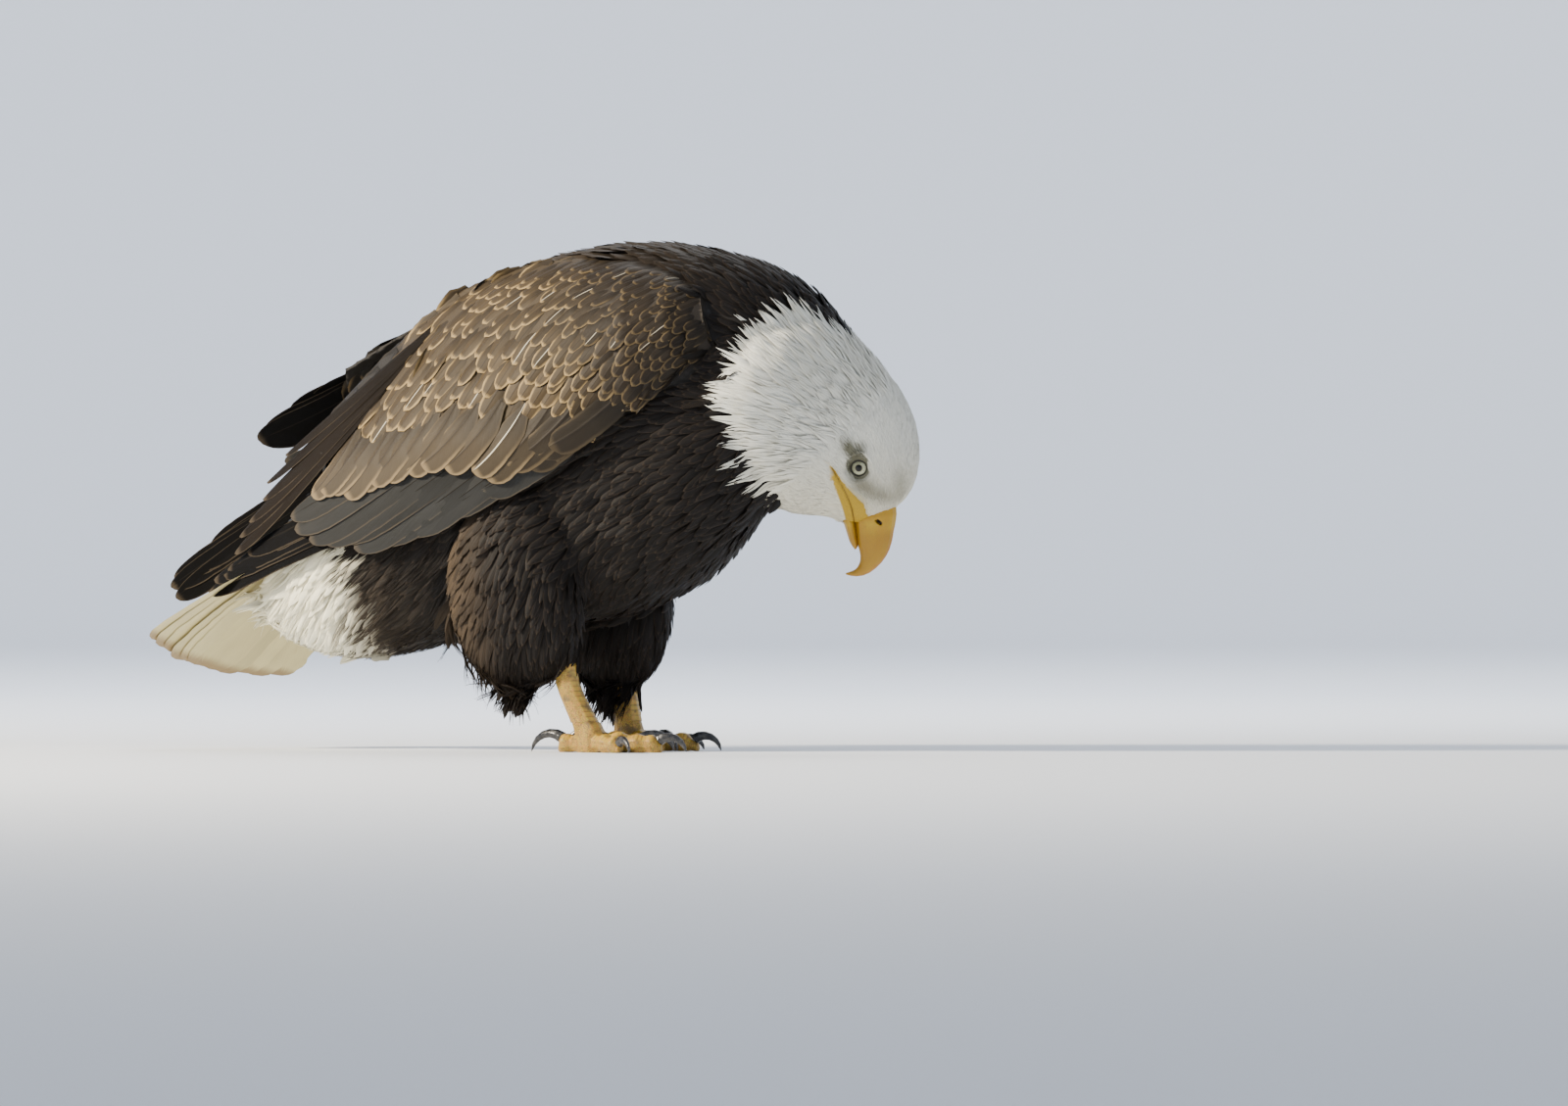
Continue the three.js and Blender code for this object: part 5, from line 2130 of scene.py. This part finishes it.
    def dress(self) -> None:
        """Makes every piece of the coat."""
        white, brown, covert = WHITE.material(), BROWN.material(), COVERT.material()
        head, neck = self.members(Tract.HEAD), self.members(Tract.NECK)
        body, rump = self.members(Tract.BODY), self.members(Tract.RUMP)
        thigh, wing = self.members(Tract.THIGH), self.members(Tract.WING)
        silky = Grooming(length=1.2, width=1.3, lift=0.75, lean=5, roll=3, tuft=5 * MM, gather=0.3, tone=0.04)
        self.piece("head_feathers", head, DOWNY, white, "white_feathers", silky, 1100)
        ruff = Grooming(
            lift=1.3, curl=0.03, lean=4, roll=7, tuft=11 * MM, gather=0.62, tuft_lengths=0.28, tone=0.05
        )
        self.piece("neck_hackles", neck, HACKLE, white, "white_feathers", ruff, 1200)
        plain = Grooming(curl=0.01, lean=8, roll=9, tuft=16 * MM, gather=0.2, tuft_lengths=0.15, tone=0.2)
        self.piece("body_feathers", body, CONTOUR, brown, "body_feathers", plain, 1300)
        self.piece("thigh_feathers", thigh, CONTOUR, brown, "body_feathers", replace(plain, curl=0.02), 1400)
        fluff = Grooming(
            lift=1.2, curl=0.05, lean=9, roll=12, tuft=14 * MM, gather=0.35, tuft_lengths=0.2, tone=0.05
        )
        self.piece("rump_feathers", rump, SOFT, white, "white_feathers", fluff, 1500)
        flat = Grooming(lean=5, roll=5, tone=0.16)
        self.piece("wing_coverts", wing, COVERT_FORM, covert, "wing_coverts", flat, 1600)
        self.fringes(brown, white)

    def fringes(self, brown: Material, white: Material) -> None:
        """Grows hair-like plumes along the lower edges of the trousers and over the fluff round the vent.

        Args:
            brown: The finish of the trousers.
            white: The finish of the fluff.
        """
        thigh, rump, body = self.members(Tract.THIGH), self.members(Tract.RUMP), self.members(Tract.BODY)
        low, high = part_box("thigh_right")
        hem = thigh[self.roots[thigh][:, 2] < low[2] + 0.38 * (high[2] - low[2])]
        vent = body[(self.roots[body][:, 0] < low[0] + 0.03) & (self.roots[body][:, 2] < high[2])]
        hairs = Grooming(
            1.5, 0.34, 1.2, curl=0.03, lean=9, roll=25, tuft=15 * MM, gather=0.5, tuft_lengths=0.35
        )
        dark = np.repeat(np.concatenate([hem, vent]), 4)
        self.piece("trouser_hairs", dark, PLUME, brown, "body_feathers", hairs, 1700)
        pale = np.repeat(rump[self.roots[rump][:, 2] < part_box("tail_coverts")[1][2] - 0.09], 3)
        self.piece("vent_plumes", pale, PLUME, white, "white_feathers", replace(hairs, width=0.36), 1800)


# ---------------------------------------------------------------- long feathers
class Sheet:
    """A smooth surface fitted through points: its height over a plane is a polynomial of two measures."""

    rounds: int = 4
    stray: float = 12 * MM

    def __init__(self, origin: Array, first: Array, second: Array, samples: Array, degree: int = 4) -> None:
        """Fits the surface.

        Args:
            origin: Where the plane's two measures are zero.
            first: Unit vector of the first measure.
            second: Unit vector of the second measure.
            samples: Points on the surface, in metres.
            degree: Degree of the polynomial.
        """
        self.origin, self.first, self.second = origin, first, second
        self.rise = np.cross(first, second)
        self.powers = [(i, j) for i in range(degree + 1) for j in range(degree + 1 - i)]
        offset = samples - origin
        a, b, height = offset @ first, offset @ second, offset @ self.rise
        self.scale = max(np.abs(a).max(), np.abs(b).max())
        terms = self.terms(a, b)
        near = np.ones(len(samples), bool)
        for _ in range(self.rounds):
            self.weights = np.linalg.lstsq(terms[near], height[near], rcond=None)[0]
            away = np.abs(terms @ self.weights - height)
            near = away < self.stray
        self.error = float(away[near].mean())

    def terms(self, a: Array, b: Array) -> Array:
        """The polynomial's terms at each pair of measures."""
        a, b = a / self.scale, b / self.scale
        return np.stack([a**i * b**j for i, j in self.powers], -1)

    def at(self, a: Array, b: Array, over: Array | float = 0.0) -> Array:
        """Points on the surface, or over it by some distance along the plane's normal."""
        height = (self.terms(a, b) @ self.weights + over)[..., None]
        return self.origin + a[..., None] * self.first + b[..., None] * self.second + height * self.rise

    def normal(self, a: Array, b: Array) -> Array:
        """Finds the surface's normals.

        Args:
            a: The plane's first measure of each point.
            b: Its second measure.

        Returns:
            Unit vectors.
        """
        along = self.at(a + MM, b) - self.at(a - MM, b)
        across = self.at(a, b + MM) - self.at(a, b - MM)
        return unit(np.cross(along, across))


@dataclass(frozen=True)
class QuillRow:
    """A row of long feathers: roots and tips run along two lines, given as shares of a node's box."""

    name: str
    node: str
    count: int
    roots: tuple[Pair, ...]
    tips: tuple[Pair, ...]
    width: Pair
    over: tuple[float, float, float]
    colour: Colour
    bow: float = 4.0
    roll: float = 5.0
    sides: Pair = (0.8, 1.2)
    front_shade: float = 0.0
    jitter: float = 2.0


PRIMARY_ROOTS = ((1.108, 0.620), (1.163, 0.780))
PRIMARY_TIPS = ((-0.008, 0.042), (0.066, 0.140), (0.163, 0.245), (0.288, 0.345))
SECONDARY_ROOTS = ((1.257, 0.547), (0.998, 0.505), (0.771, 0.589))
SECONDARY_TIPS = (
    (0.888, 0.257), (0.664, 0.104), (0.483, 0.017), (0.370, 0.013), (0.290, 0.050), (0.202, 0.134),
)
TERTIAL_ROOTS = ((0.613, 0.878), (0.657, 0.940), (0.690, 0.993))
TERTIAL_TIPS = (
    (-0.004, 0.004), (0.011, 0.063), (0.040, 0.130), (0.068, 0.216), (0.070, 0.298), (0.106, 0.390),
)
GREATER_ROOTS = (
    (0.830, 0.500), (0.760, 0.440), (0.620, 0.410), (0.480, 0.430), (0.351, 0.411), (0.266, 0.378),
    (0.188, 0.352), (0.108, 0.338),
)
GREATER_TIPS = (
    (0.638, 0.241), (0.583, 0.172), (0.473, 0.129), (0.348, 0.168), (0.219, 0.149), (0.140, 0.103),
    (0.066, 0.072), (-0.012, 0.058),
)
FAR_PRIMARY_ROOTS = ((0.547, 0.606), (0.650, 0.766))
FAR_PRIMARY_TIPS = ((0.034, 0.027), (0.014, 0.100), (0.067, 0.187), (0.144, 0.272))
FAR_SECONDARY_TIPS = (
    (0.888, 0.257), (0.664, 0.104), (0.483, 0.017), (0.370, 0.013), (0.250, 0.060), (0.120, 0.180),
    (0.050, 0.300),
)
FAR_TERTIAL_ROOTS = ((0.555, 0.866), (0.657, 0.991), (0.752, 1.070))
FAR_TERTIAL_TIPS = (
    (-0.010, 0.400), (0.013, 0.442), (0.083, 0.525), (0.168, 0.597), (0.298, 0.672), (0.363, 0.789),
)


def along_line(points: Sequence[Pair], count: int) -> Array:
    """Places spread evenly in number along a line of a few points.

    Args:
        points: The line's points.
        count: How many places.

    Returns:
        One row for each place.
    """
    given = np.array(points)
    at = np.linspace(0, len(given) - 1, count)
    return np.stack([np.interp(at, np.arange(len(given)), given[:, k]) for k in range(2)], 1)


@dataclass
class Wing:
    """The long feathers of one folded wing, laid in rows over each other like slates."""

    side: Side
    salt: int
    sampled_ahead: float = 0.6
    samples: tuple[int, int] = (60, 44)
    black: Colour = (0.0032, 0.0031, 0.0033)
    grey: Colour = (0.029, 0.029, 0.028)
    umber: Colour = (0.0100, 0.0076, 0.0058)
    brown: Colour = (0.050, 0.036, 0.020)

    def sheet(self) -> Sheet:
        """Fits a smooth surface to the outside of the wing's solids.

        Returns:
            The surface. Its two measures run backward or forward, so that its normal points outward, and up.
        """
        nodes = [f"wing_{self.side.word}_{part}" for part in ("arm", "secondaries", "primaries")]
        tree, _ = solid_lookup(nodes)
        span = np.concatenate([read_vectors(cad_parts[node].data.vertices, "co") for node in nodes])
        low, high = span.min(0), span.max(0)
        samples = []
        inward = Vector((0, -self.side.value, 0))
        for x in np.linspace(low[0], high[0] * self.sampled_ahead, self.samples[0]):
            for z in np.linspace(low[2], high[2], self.samples[1]):
                hit = tree.ray_cast(Vector((x, self.side.value, z)), inward)[0]
                if hit is not None:
                    samples.append(hit[:])
        first, second = np.array((-self.side.value, 0.0, 0.0)), np.array((0.0, 0.0, 1.0))
        made = Sheet(np.array((low + high) / 2 * (1, 0, 1)), first, second, np.array(samples))
        LOG.info("wing %s: sheet within %.1f mm", self.side.word, made.error / MM)
        return made

    def rows(self) -> list[QuillRow]:
        """Lists the rows from the innermost layer out. The bird holds its far wing a little higher.

        Returns:
            The four rows.
        """
        word = self.side.word
        flight, arm, hand = f"wing_{word}_secondaries", f"wing_{word}_arm", f"wing_{word}_primaries"
        primaries = QuillRow(
            "primaries", hand, 7, PRIMARY_ROOTS, PRIMARY_TIPS, (22, 25), (-7, -6, -6), self.black, bow=-4,
            sides=(0.7, 1.3),
        )
        secondaries = QuillRow(
            "secondaries", flight, 10, SECONDARY_ROOTS, SECONDARY_TIPS, (27, 29), (-6, -0.5, 0), self.grey,
            bow=5,
        )
        tertials = QuillRow(
            "tertials", flight, 6, TERTIAL_ROOTS, TERTIAL_TIPS, (21, 24), (-6, -0.5, 0.5), self.umber, bow=6
        )
        greater = QuillRow(
            "greater_coverts", arm, 16, GREATER_ROOTS, GREATER_TIPS, (25, 27), (-4, 2, 3), self.brown, bow=5,
            front_shade=0.7, jitter=3.0,
        )
        if self.side is Side.LEFT:
            primaries = replace(primaries, roots=FAR_PRIMARY_ROOTS, tips=FAR_PRIMARY_TIPS)
            secondaries = replace(secondaries, tips=FAR_SECONDARY_TIPS)
            tertials = replace(
                tertials, roots=FAR_TERTIAL_ROOTS, tips=FAR_TERTIAL_TIPS, width=(38, 42), colour=self.black
            )
        return [primaries, secondaries, tertials, greater]

    def lay(self, row: QuillRow, sheet: Sheet, salt: int) -> Batch:
        """Lays one row on the wing's surface.

        Args:
            row: The row.
            sheet: The wing's surface.
            salt: Keeps the row's small differences apart from those of other rows.

        Returns:
            The feathers.
        """
        rng = seeded(salt)
        low, high = (np.array(corner)[[0, 2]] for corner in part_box(row.node))
        roots = low + (high - low) * along_line(row.roots, row.count)
        tips = low + (high - low) * along_line(row.tips, row.count)
        tips += rng.normal(0, row.jitter * MM, tips.shape)
        share = QUILL.shares()
        run = tips - roots
        across = np.stack([-run[:, 1], run[:, 0]], 1) / np.linalg.norm(run, axis=1, keepdims=True)
        bend = row.bow * MM * 4 * share * (1 - share)
        chart = roots[:, None, :] + run[:, None, :] * share[None, :, None]
        chart = chart + across[:, None, :] * bend[None, :, None]
        a = (chart[..., 0] - sheet.origin[0]) * sheet.first[0]
        b = chart[..., 1] - sheet.origin[2]
        spine = sheet.at(a, b, np.interp(share, (0, 0.5, 1), row.over)[None, :] * MM)
        up = sheet.normal(a, b)
        left = unit(np.cross(up, unit(np.gradient(spine, axis=1))))
        left, up = rolled(left, up, -row.roll * self.side.value + rng.normal(0, 1.2, row.count))
        tint = np.array(row.colour) * (1 + 0.12 * rng.normal(0, 1, (row.count, 1)).clip(-1.5, 1.5))
        # Painted shade: the front coverts of the row are darker, as if in shadow.
        tint *= 1 - row.front_shade * (1 - ease(np.linspace(0, 1, row.count), 0.12, 0.38))[:, None]
        width = rng.uniform(*row.width, row.count) * MM
        sides = row.sides if self.side is Side.RIGHT else row.sides[::-1]
        return Batch(spine, up, left, width, tint, rng.random(row.count), *own_patches(row.count), sides)

    def dress(self, flight: Material, covert: Material) -> None:
        """Makes the wing's long feathers into pieces.

        Args:
            flight: The finish of the flight feathers.
            covert: The finish of the greater coverts.
        """
        sheet = self.sheet()
        for number, row in enumerate(self.rows()):
            batch = self.lay(row, sheet, self.salt + number)
            over = row.name == "greater_coverts"
            finish, slot = (covert, "wing_coverts") if over else (flight, "flight_feathers")
            stands_for = [row.node] if row.name in ("primaries", "secondaries") else []
            name = f"{row.name}_{self.side.word}"
            declare(feather_piece(name, batch, QUILL, finish, self.salt + 10 + number), slot, *stands_for)


def own_patches(count: int) -> tuple[Array, Pair]:
    """Upright strips of the unwrap, one for each long feather: their middles, and the size of one."""
    middles = np.stack([(np.arange(count) + 0.5) / count, np.full(count, 0.5)], 1)
    return middles, (0.9 / count, 0.94)


@dataclass
class TailFan:
    """Twelve tail feathers in a fan, the middle pair on top."""

    count: int = 12
    spread: float = 15.0
    width: float = 47.0
    inside: float = 30.0
    half_root: float = 26.0
    step: float = 0.35
    longer: float = 1.05
    roll: float = 3.5
    # A yellow-olive tint that is painted shade and light through the vanes; the tail itself is white.
    colour: Colour = (0.58, 0.50, 0.25)
    salt: int = 300

    def axes(self, points: Array) -> tuple[Array, Array, Array, Array]:
        """Finds how the tail lies.

        Args:
            points: The points of its solid, in metres.

        Returns:
            Its middle, and its long, cross and short axes.
        """
        middle = points.mean(0)
        _, _, axes = np.linalg.svd(points - middle, full_matrices=False)
        along = axes[0] if axes[0][0] < 0 else -axes[0]
        up = axes[2] if axes[2][2] > 0 else -axes[2]
        return middle, along, np.cross(up, along), up

    def dress(self) -> None:
        """Makes the tail feathers a piece."""
        points = read_vectors(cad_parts["tail"].data.vertices, "co")
        middle, along, across, _ = self.axes(points)
        sheet = Sheet(middle, along, across, points, degree=3)
        reach = (points - middle) @ along
        start, end = reach.min() - self.inside * MM, reach.max()
        rng = seeded(self.salt)
        share = QUILL.shares()
        place = np.linspace(-1, 1, self.count)
        place = np.sign(place) * np.abs(place) ** 1.3
        angle = np.radians(self.spread) * place
        length = (end - start) * (self.longer - 0.05 * np.abs(place) ** 2) + rng.normal(0, 2 * MM, self.count)
        length[0] *= 0.98
        a = start + length[:, None] * np.cos(angle)[:, None] * share[None, :]
        b = place[:, None] * self.half_root * MM + length[:, None] * np.sin(angle)[:, None] * share[None, :]
        layer = (1 - np.abs(place)) * self.count / 2 * self.step - 1.5
        spine = sheet.at(a, b, layer[:, None] * MM)
        up = sheet.normal(a, b)
        left = unit(np.cross(up, unit(np.gradient(spine, axis=1))))
        left, up = rolled(left, up, -self.roll * np.sign(place) + rng.normal(0, 1.0, self.count))
        # Each feather carries the painted shade of the tail's tint.
        tint = np.array(self.colour) * (1 + 0.04 * rng.normal(0, 1, (self.count, 1)))
        width = np.full(self.count, self.width * MM)
        batch = Batch(spine, up, left, width, tint, rng.random(self.count), *own_patches(self.count))
        form = replace(QUILL, tip_start=0.86, tip_power=2.4, ragged=0.05)
        piece = feather_piece("tail_feathers", batch, form, TAIL.material(), self.salt)
        declare(piece, "tail_feathers", "tail")


# ---------------------------------------------------------------- bill, eyes and feet
@dataclass
class Bill:
    """The hooked upper bill with its cere, in one piece, and the lower bill."""

    head: HeadFrame
    voxel: float = 0.55 * MM
    grow: float = 0.32 * MM
    nostril_at: Pair = (17.1, -48.4)
    nostril_size: Pair = (3.1, 1.5)
    nostril_tilt: float = -0.67
    nostril_depth: float = 1.1 * MM
    horn: HornFinish = HornFinish("bill_horn", (0.43, 0.235, 0.008), (0.48, 0.14, 0.035), (0.50, 0.32, 0.016))

    def nostril(self, points: Array) -> Array:
        """Measures how deep points are in a nostril.

        Args:
            points: Points in metres.

        Returns:
            Depths from 0 to 1.
        """
        ahead, out, up = self.head.measure(points)
        cos, sin = math.cos(self.nostril_tilt), math.sin(self.nostril_tilt)
        ahead, up = ahead - self.nostril_at[0], up - self.nostril_at[1]
        along, aside = ahead * cos + up * sin, up * cos - ahead * sin
        depth = np.exp(-((along / self.nostril_size[0]) ** 4 + (aside / self.nostril_size[1]) ** 4))
        return depth * (np.abs(out) > 2)

    def dress(self) -> None:
        """Makes the two pieces."""
        finish = self.horn.material()
        halves = (("upper_bill", ("cere", "bill_upper"), 34), ("lower_bill", ("bill_lower",), 22))
        for name, nodes, passes in halves:
            clay = Clay.of_nodes(nodes, self.voxel, self.grow)
            clay.smooth(passes)
            _, out, up = self.head.measure(clay.points)
            normals = clay.normals()
            hollow = np.clip((clay.spread(clay.points) - clay.points) / MM * normals, -1, 1).sum(1)
            ridge = (1 - ease(np.abs(out), 0.5, 7.0)) * np.clip(normals @ self.head.ahead, 0, 1)
            set_numbers(clay.mesh, "ridge", ridge * (1 - ease(up, -62, -40)))
            set_numbers(clay.mesh, "horn", 1 - ease(up, -62, -52))
            nostril = self.nostril(clay.points)
            clay.push(-nostril * self.nostril_depth)
            clay.write()
            # Painted shade: darker in hollows of the horn and inside the nostril.
            shade = np.maximum(ease(hollow, 0.03, 0.12) * 0.5, ease(nostril, 0.3, 0.7))
            set_numbers(clay.mesh, "shade", shade)
            declare(clay.piece(name, finish), "bill", *nodes)


@dataclass
class Eye:
    """An eyeball with a cornea that stands out. The lids round it belong to the skin."""

    side: Side
    face: Face
    iris: float = 7.6
    rings: int = 40
    back_rings: int = 10
    sides: int = 48
    bulge: float = 0.5

    def dress(self, finish: Material) -> None:
        """Makes the eyeball a piece.

        Args:
            finish: Its material.
        """
        node = f"eye_{self.side.word}"
        low, high = (np.array(corner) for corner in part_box(node))
        centre, radius = (low + high) / 2, (high - low).max() / 2
        axis = self.face.eye_axis(self.side)
        first = unit(np.cross(axis, (0.0, 0.0, 1.0)))
        second = np.cross(axis, first)
        back = np.linspace(1.0, math.pi, self.back_rings)[1:-1]
        polar = np.concatenate([np.linspace(0, 1.0, self.rings)[1:], back])
        turn = np.arange(self.sides) * 2 * math.pi / self.sides
        cap = math.asin(self.iris * MM / radius)
        swell = radius + self.bulge * MM * np.clip(1 - (polar / cap) ** 2, 0, 1)
        spoke = np.cos(turn)[None, :, None] * first + np.sin(turn)[None, :, None] * second
        ring = np.cos(polar)[:, None, None] * axis + np.sin(polar)[:, None, None] * spoke
        ring = swell[:, None, None] * ring
        points = np.concatenate([ring.reshape(-1, 3), [axis * (radius + self.bulge * MM)], [-axis * radius]])
        count = len(polar)
        faces = []
        for i in range(count - 1):
            for j in range(self.sides):
                a, b = i * self.sides + j, i * self.sides + (j + 1) % self.sides
                faces.append((a, a + self.sides, b + self.sides, b))
        top, bottom = count * self.sides, count * self.sides + 1
        for j in range(self.sides):
            k = (j + 1) % self.sides
            faces.append((top, j, k))
            faces.append((bottom, (count - 1) * self.sides + k, (count - 1) * self.sides + j))
        mesh = bpy.data.meshes.new(node)
        mesh.from_pydata((points + centre).tolist(), [], faces)
        tilt = np.repeat(np.minimum(polar, math.pi / 2), self.sides)
        away = np.sin(np.concatenate([tilt, [0, math.pi / 2]]))
        set_numbers(mesh, "radius", away * radius / (self.iris * MM))
        set_numbers(mesh, "turn", np.concatenate([np.tile(np.sin(turn), count), [0, 0]]))
        declare(finished(f"eyeball_{self.side.word}", mesh, finish), "eyes", node)


@dataclass
class Foot:
    """One leg below the feathers: shank and toes under one scaly skin, and the four claws."""

    side: Side
    voxel: float = 0.85 * MM
    grow: float = 0.4 * MM
    passes: int = 12
    claw_voxel: float = 0.8 * MM
    claw_grow: float = 0.25 * MM
    claw_passes: int = 30
    plate_step: float = 3.6
    plate_height: float = 0.32
    knuckle_step: float = 17.0
    knuckle_height: float = 0.9
    instep: float = 26 * MM
    tucked_in: float = 14 * MM

    def dress(self, scales: Material, horn: Material) -> None:
        """Makes the foot and its claws into pieces.

        Args:
            scales: The finish of the leg and the toes.
            horn: The finish of the claws.
        """
        word = self.side.word
        toes = [f"toe_{word}_{k}" for k in (1, 2, 3, 4)]
        clay = Clay.of_nodes((f"shank_{word}", *toes), self.voxel, self.grow)
        clay.smooth(self.passes)
        self.reach_up(clay)
        self.scale(clay, toes)
        declare(clay.piece(f"foot_{word}", scales), "leg_scales", f"shank_{word}", *toes)
        for k in (1, 2, 3, 4):
            claw = Clay.of_nodes((f"claw_{word}_{k}",), self.claw_voxel, self.claw_grow)
            claw.smooth(self.claw_passes)
            claw.points[:, 2] = np.maximum(claw.points[:, 2], 0)
            declare(claw.piece(f"talon_{word}_{k}", horn), "claws", f"claw_{word}_{k}")

    def reach_up(self, clay: Clay) -> None:
        """Draws the top of the shank up into the trousers, along its own slant.

        Args:
            clay: The foot.
        """
        top = clay.points[:, 2].max()
        levels = (top - 4 * MM, top - 18 * MM)
        upper, lower = (clay.points[np.abs(clay.points[:, 2] - level) < 3 * MM].mean(0) for level in levels)
        way = (upper - lower) / (upper - lower)[2]
        share = ease(clay.points[:, 2], top - 14 * MM, top - 2 * MM)
        clay.points += share[:, None] * way * self.tucked_in

    def scale(self, clay: Clay, toes: Sequence[str]) -> None:
        """Raises broad plates along the top of each toe and down the front of the shank.

        Args:
            clay: The foot.
            toes: The CAD nodes of its toes.
        """
        points = clay.points
        normals = clay.normals()
        foot = in_box(f"shank_{self.side.word}", (0.5, 0.5, 0.0))
        best = np.full(len(points), 1e9)
        along = points[:, 2].copy()
        for toe in toes:
            middle = middle_of(toe)
            way = unit((middle - foot) * (1, 1, 0))
            offset = points - foot
            reach = offset @ way
            aside = np.linalg.norm((offset - reach[:, None] * way)[:, :2], axis=1)
            aside = np.where(reach < 0, aside + 9.0, aside)
            nearer = aside < best
            best = np.where(nearer, aside, best)
            along = np.where(nearer, reach, along)
        on_shank = points[:, 2] > foot[2] + self.instep
        along = np.where(on_shank, points[:, 2] * 0.8, along) / MM
        face = np.where(on_shank, ease(normals[:, 0], 0.1, 0.7), ease(normals[:, 2], 0.15, 0.6))
        seam = np.abs(np.sin(math.pi * along / self.plate_step))
        clay.push((self.plate_height * (seam**0.4 - 0.6) * face) * MM)
        knuckle = np.where(on_shank, 0.0, np.cos(2 * math.pi * along / self.knuckle_step))
        clay.push(knuckle * self.knuckle_height * MM)
        clay.points[:, 2] = np.maximum(clay.points[:, 2], 0)
        set_numbers(clay.mesh, "plate", face * (1 - ease(seam, 0.05, 0.4)))
        set_numbers(clay.mesh, "small", 1 - face)


# ---------------------------------------------------------------- studio
@dataclass(frozen=True)
class Lamp:
    """An area lamp. Its places are metres to the right, away from the camera and up, from the bird."""

    name: str
    place: tuple[float, float, float]
    size: float
    power: float
    colour: Colour
    aim: tuple[float, float, float] | None = None


@dataclass
class Studio:
    """The pale sweep, the lights and the camera."""

    azimuth: float = 20.0
    look_across: float = 0.64
    look_up: float = 0.3885
    frame_width: float = 1.96
    distance: float = 11.0
    film: float = 36.0
    floor: float = 13.0
    curve: float = 3.0
    wall: float = 14.0
    sides: int = 96
    sky: Colour = (0.80, 0.88, 1.0)
    sky_strength: float = 0.60
    lamps: tuple[Lamp, ...] = (
        Lamp("key", (-3.4, -1.3, 2.1), 0.6, 460, (1.0, 0.89, 0.71)),
        Lamp("fill", (2.6, -3.0, 1.6), 2.6, 14, (0.86, 0.92, 1.0)),
        Lamp("back", (0.5, 2.0, 2.8), 1.8, 40, (1.0, 0.96, 0.9)),
        Lamp("backdrop", (0.0, 1.0, 7.0), 6.0, 1500, (0.92, 0.95, 1.0), aim=(0.0, 13.0, 6.0)),
    )

    def axes(self) -> tuple[Vector, Vector]:
        """The directions to the camera's right and away from it."""
        angle = math.radians(self.azimuth)
        return Vector((math.cos(angle), math.sin(angle), 0)), Vector((-math.sin(angle), math.cos(angle), 0))

    def build(self) -> None:
        """Makes everything that isn't part of the bird."""
        self.camera()
        self.sweep()
        self.lights()

    def camera(self) -> None:
        """A level camera whose picture is a little under two body lengths wide."""
        low, high = CAD_BOX
        right, away = self.axes()
        length = high[0] - low[0]
        target = right * self.look_across * length / 2 + Vector((0, 0, self.look_up * high[2]))
        data = bpy.data.cameras.new("camera")
        data.sensor_width = self.film
        data.lens = self.film * self.distance / (self.frame_width * length)
        camera = linked("camera", data)
        camera.location = target - away * self.distance
        camera.rotation_euler = (math.pi / 2, 0, math.radians(self.azimuth))
        bpy.context.scene.camera = camera

    def sweep(self) -> None:
        """A round floor whose edge curves up into a backdrop on every side, beyond the camera."""
        profile = [(self.floor * share, 0.0) for share in (0.08, 0.3, 0.6, 1.0)]
        profile += [
            (self.floor + self.curve * math.sin(t), self.curve * (1 - math.cos(t)))
            for t in np.linspace(0.1, math.pi / 2, 14)
        ]
        profile.append((self.floor + self.curve, self.wall))
        sides = self.sides
        turns = [2 * math.pi * k / sides for k in range(sides)]
        points = [(r * math.cos(t), r * math.sin(t), z) for r, z in profile for t in turns]
        points.append((0.0, 0.0, 0.0))
        middle = len(points) - 1
        faces = [(k, (k + 1) % sides, middle) for k in range(sides)]
        for ring in range(len(profile) - 1):
            for k in range(sides):
                a, b = ring * sides + k, ring * sides + (k + 1) % sides
                faces.append((a, a + sides, b + sides, b))
        mesh = bpy.data.meshes.new("sweep")
        mesh.from_pydata(points, [], faces)
        finished("sweep", mesh, PaperFinish().material())

    def lights(self) -> None:
        """A large key from the left behind the camera, a weak fill from the right, and an even sky."""
        for lamp in self.lamps:
            self.hang(lamp)
        world = bpy.data.worlds.new("sky")
        world.use_nodes = True
        background = world.node_tree.nodes["Background"]
        background.inputs["Color"].default_value = (*self.sky, 1.0)
        background.inputs["Strength"].default_value = self.sky_strength
        bpy.context.scene.world = world

    def hang(self, lamp: Lamp) -> None:
        """Hangs a lamp that only shows by its light. It faces the bird unless it has an aim.

        Args:
            lamp: The lamp.
        """
        right, away = self.axes()
        data = bpy.data.lights.new(lamp.name, "AREA")
        data.color = lamp.colour
        data.size = lamp.size
        data.energy = lamp.power
        hung = linked(lamp.name, data)
        hung.visible_camera = False
        x, y, z = lamp.place
        hung.location = right * x + away * y + Vector((0, 0, z))
        target = Vector((0, 0, CAD_BOX[1][2] / 2))
        if lamp.aim:
            x, y, z = lamp.aim
            target = right * x + away * y + Vector((0, 0, z))
        hung.rotation_euler = (target - hung.location).to_track_quat("-Z", "Y").to_euler()


# ---------------------------------------------------------------- assembly
def main() -> None:
    """Builds the bird, piece by piece, and then the studio round it."""
    logging.basicConfig(level=logging.INFO, format="%(message)s")
    head = HeadFrame.from_eyes()
    face = Face(head)
    markings = Markings(face)
    coat = Coat(all_lies(head))
    skin = Skin(coat, face, markings).build()
    skin.unwrap()
    skin.dress()
    Plumage(skin, coat, markings, face).sow().dress()
    flight, covert = FLIGHT.material(), GREATER.material()
    for side, salt in ((Side.RIGHT, 100), (Side.LEFT, 200)):
        Wing(side, salt).dress(flight, covert)
    TailFan().dress()
    Bill(head).dress()
    eye = EyeFinish().material()
    scales, horn = ScaleFinish().material(), ClawFinish().material()
    for side in Side:
        Eye(side, face).dress(eye)
        Foot(side).dress(scales, horn)
    Studio().build()


if __name__ == "__main__":
    main()
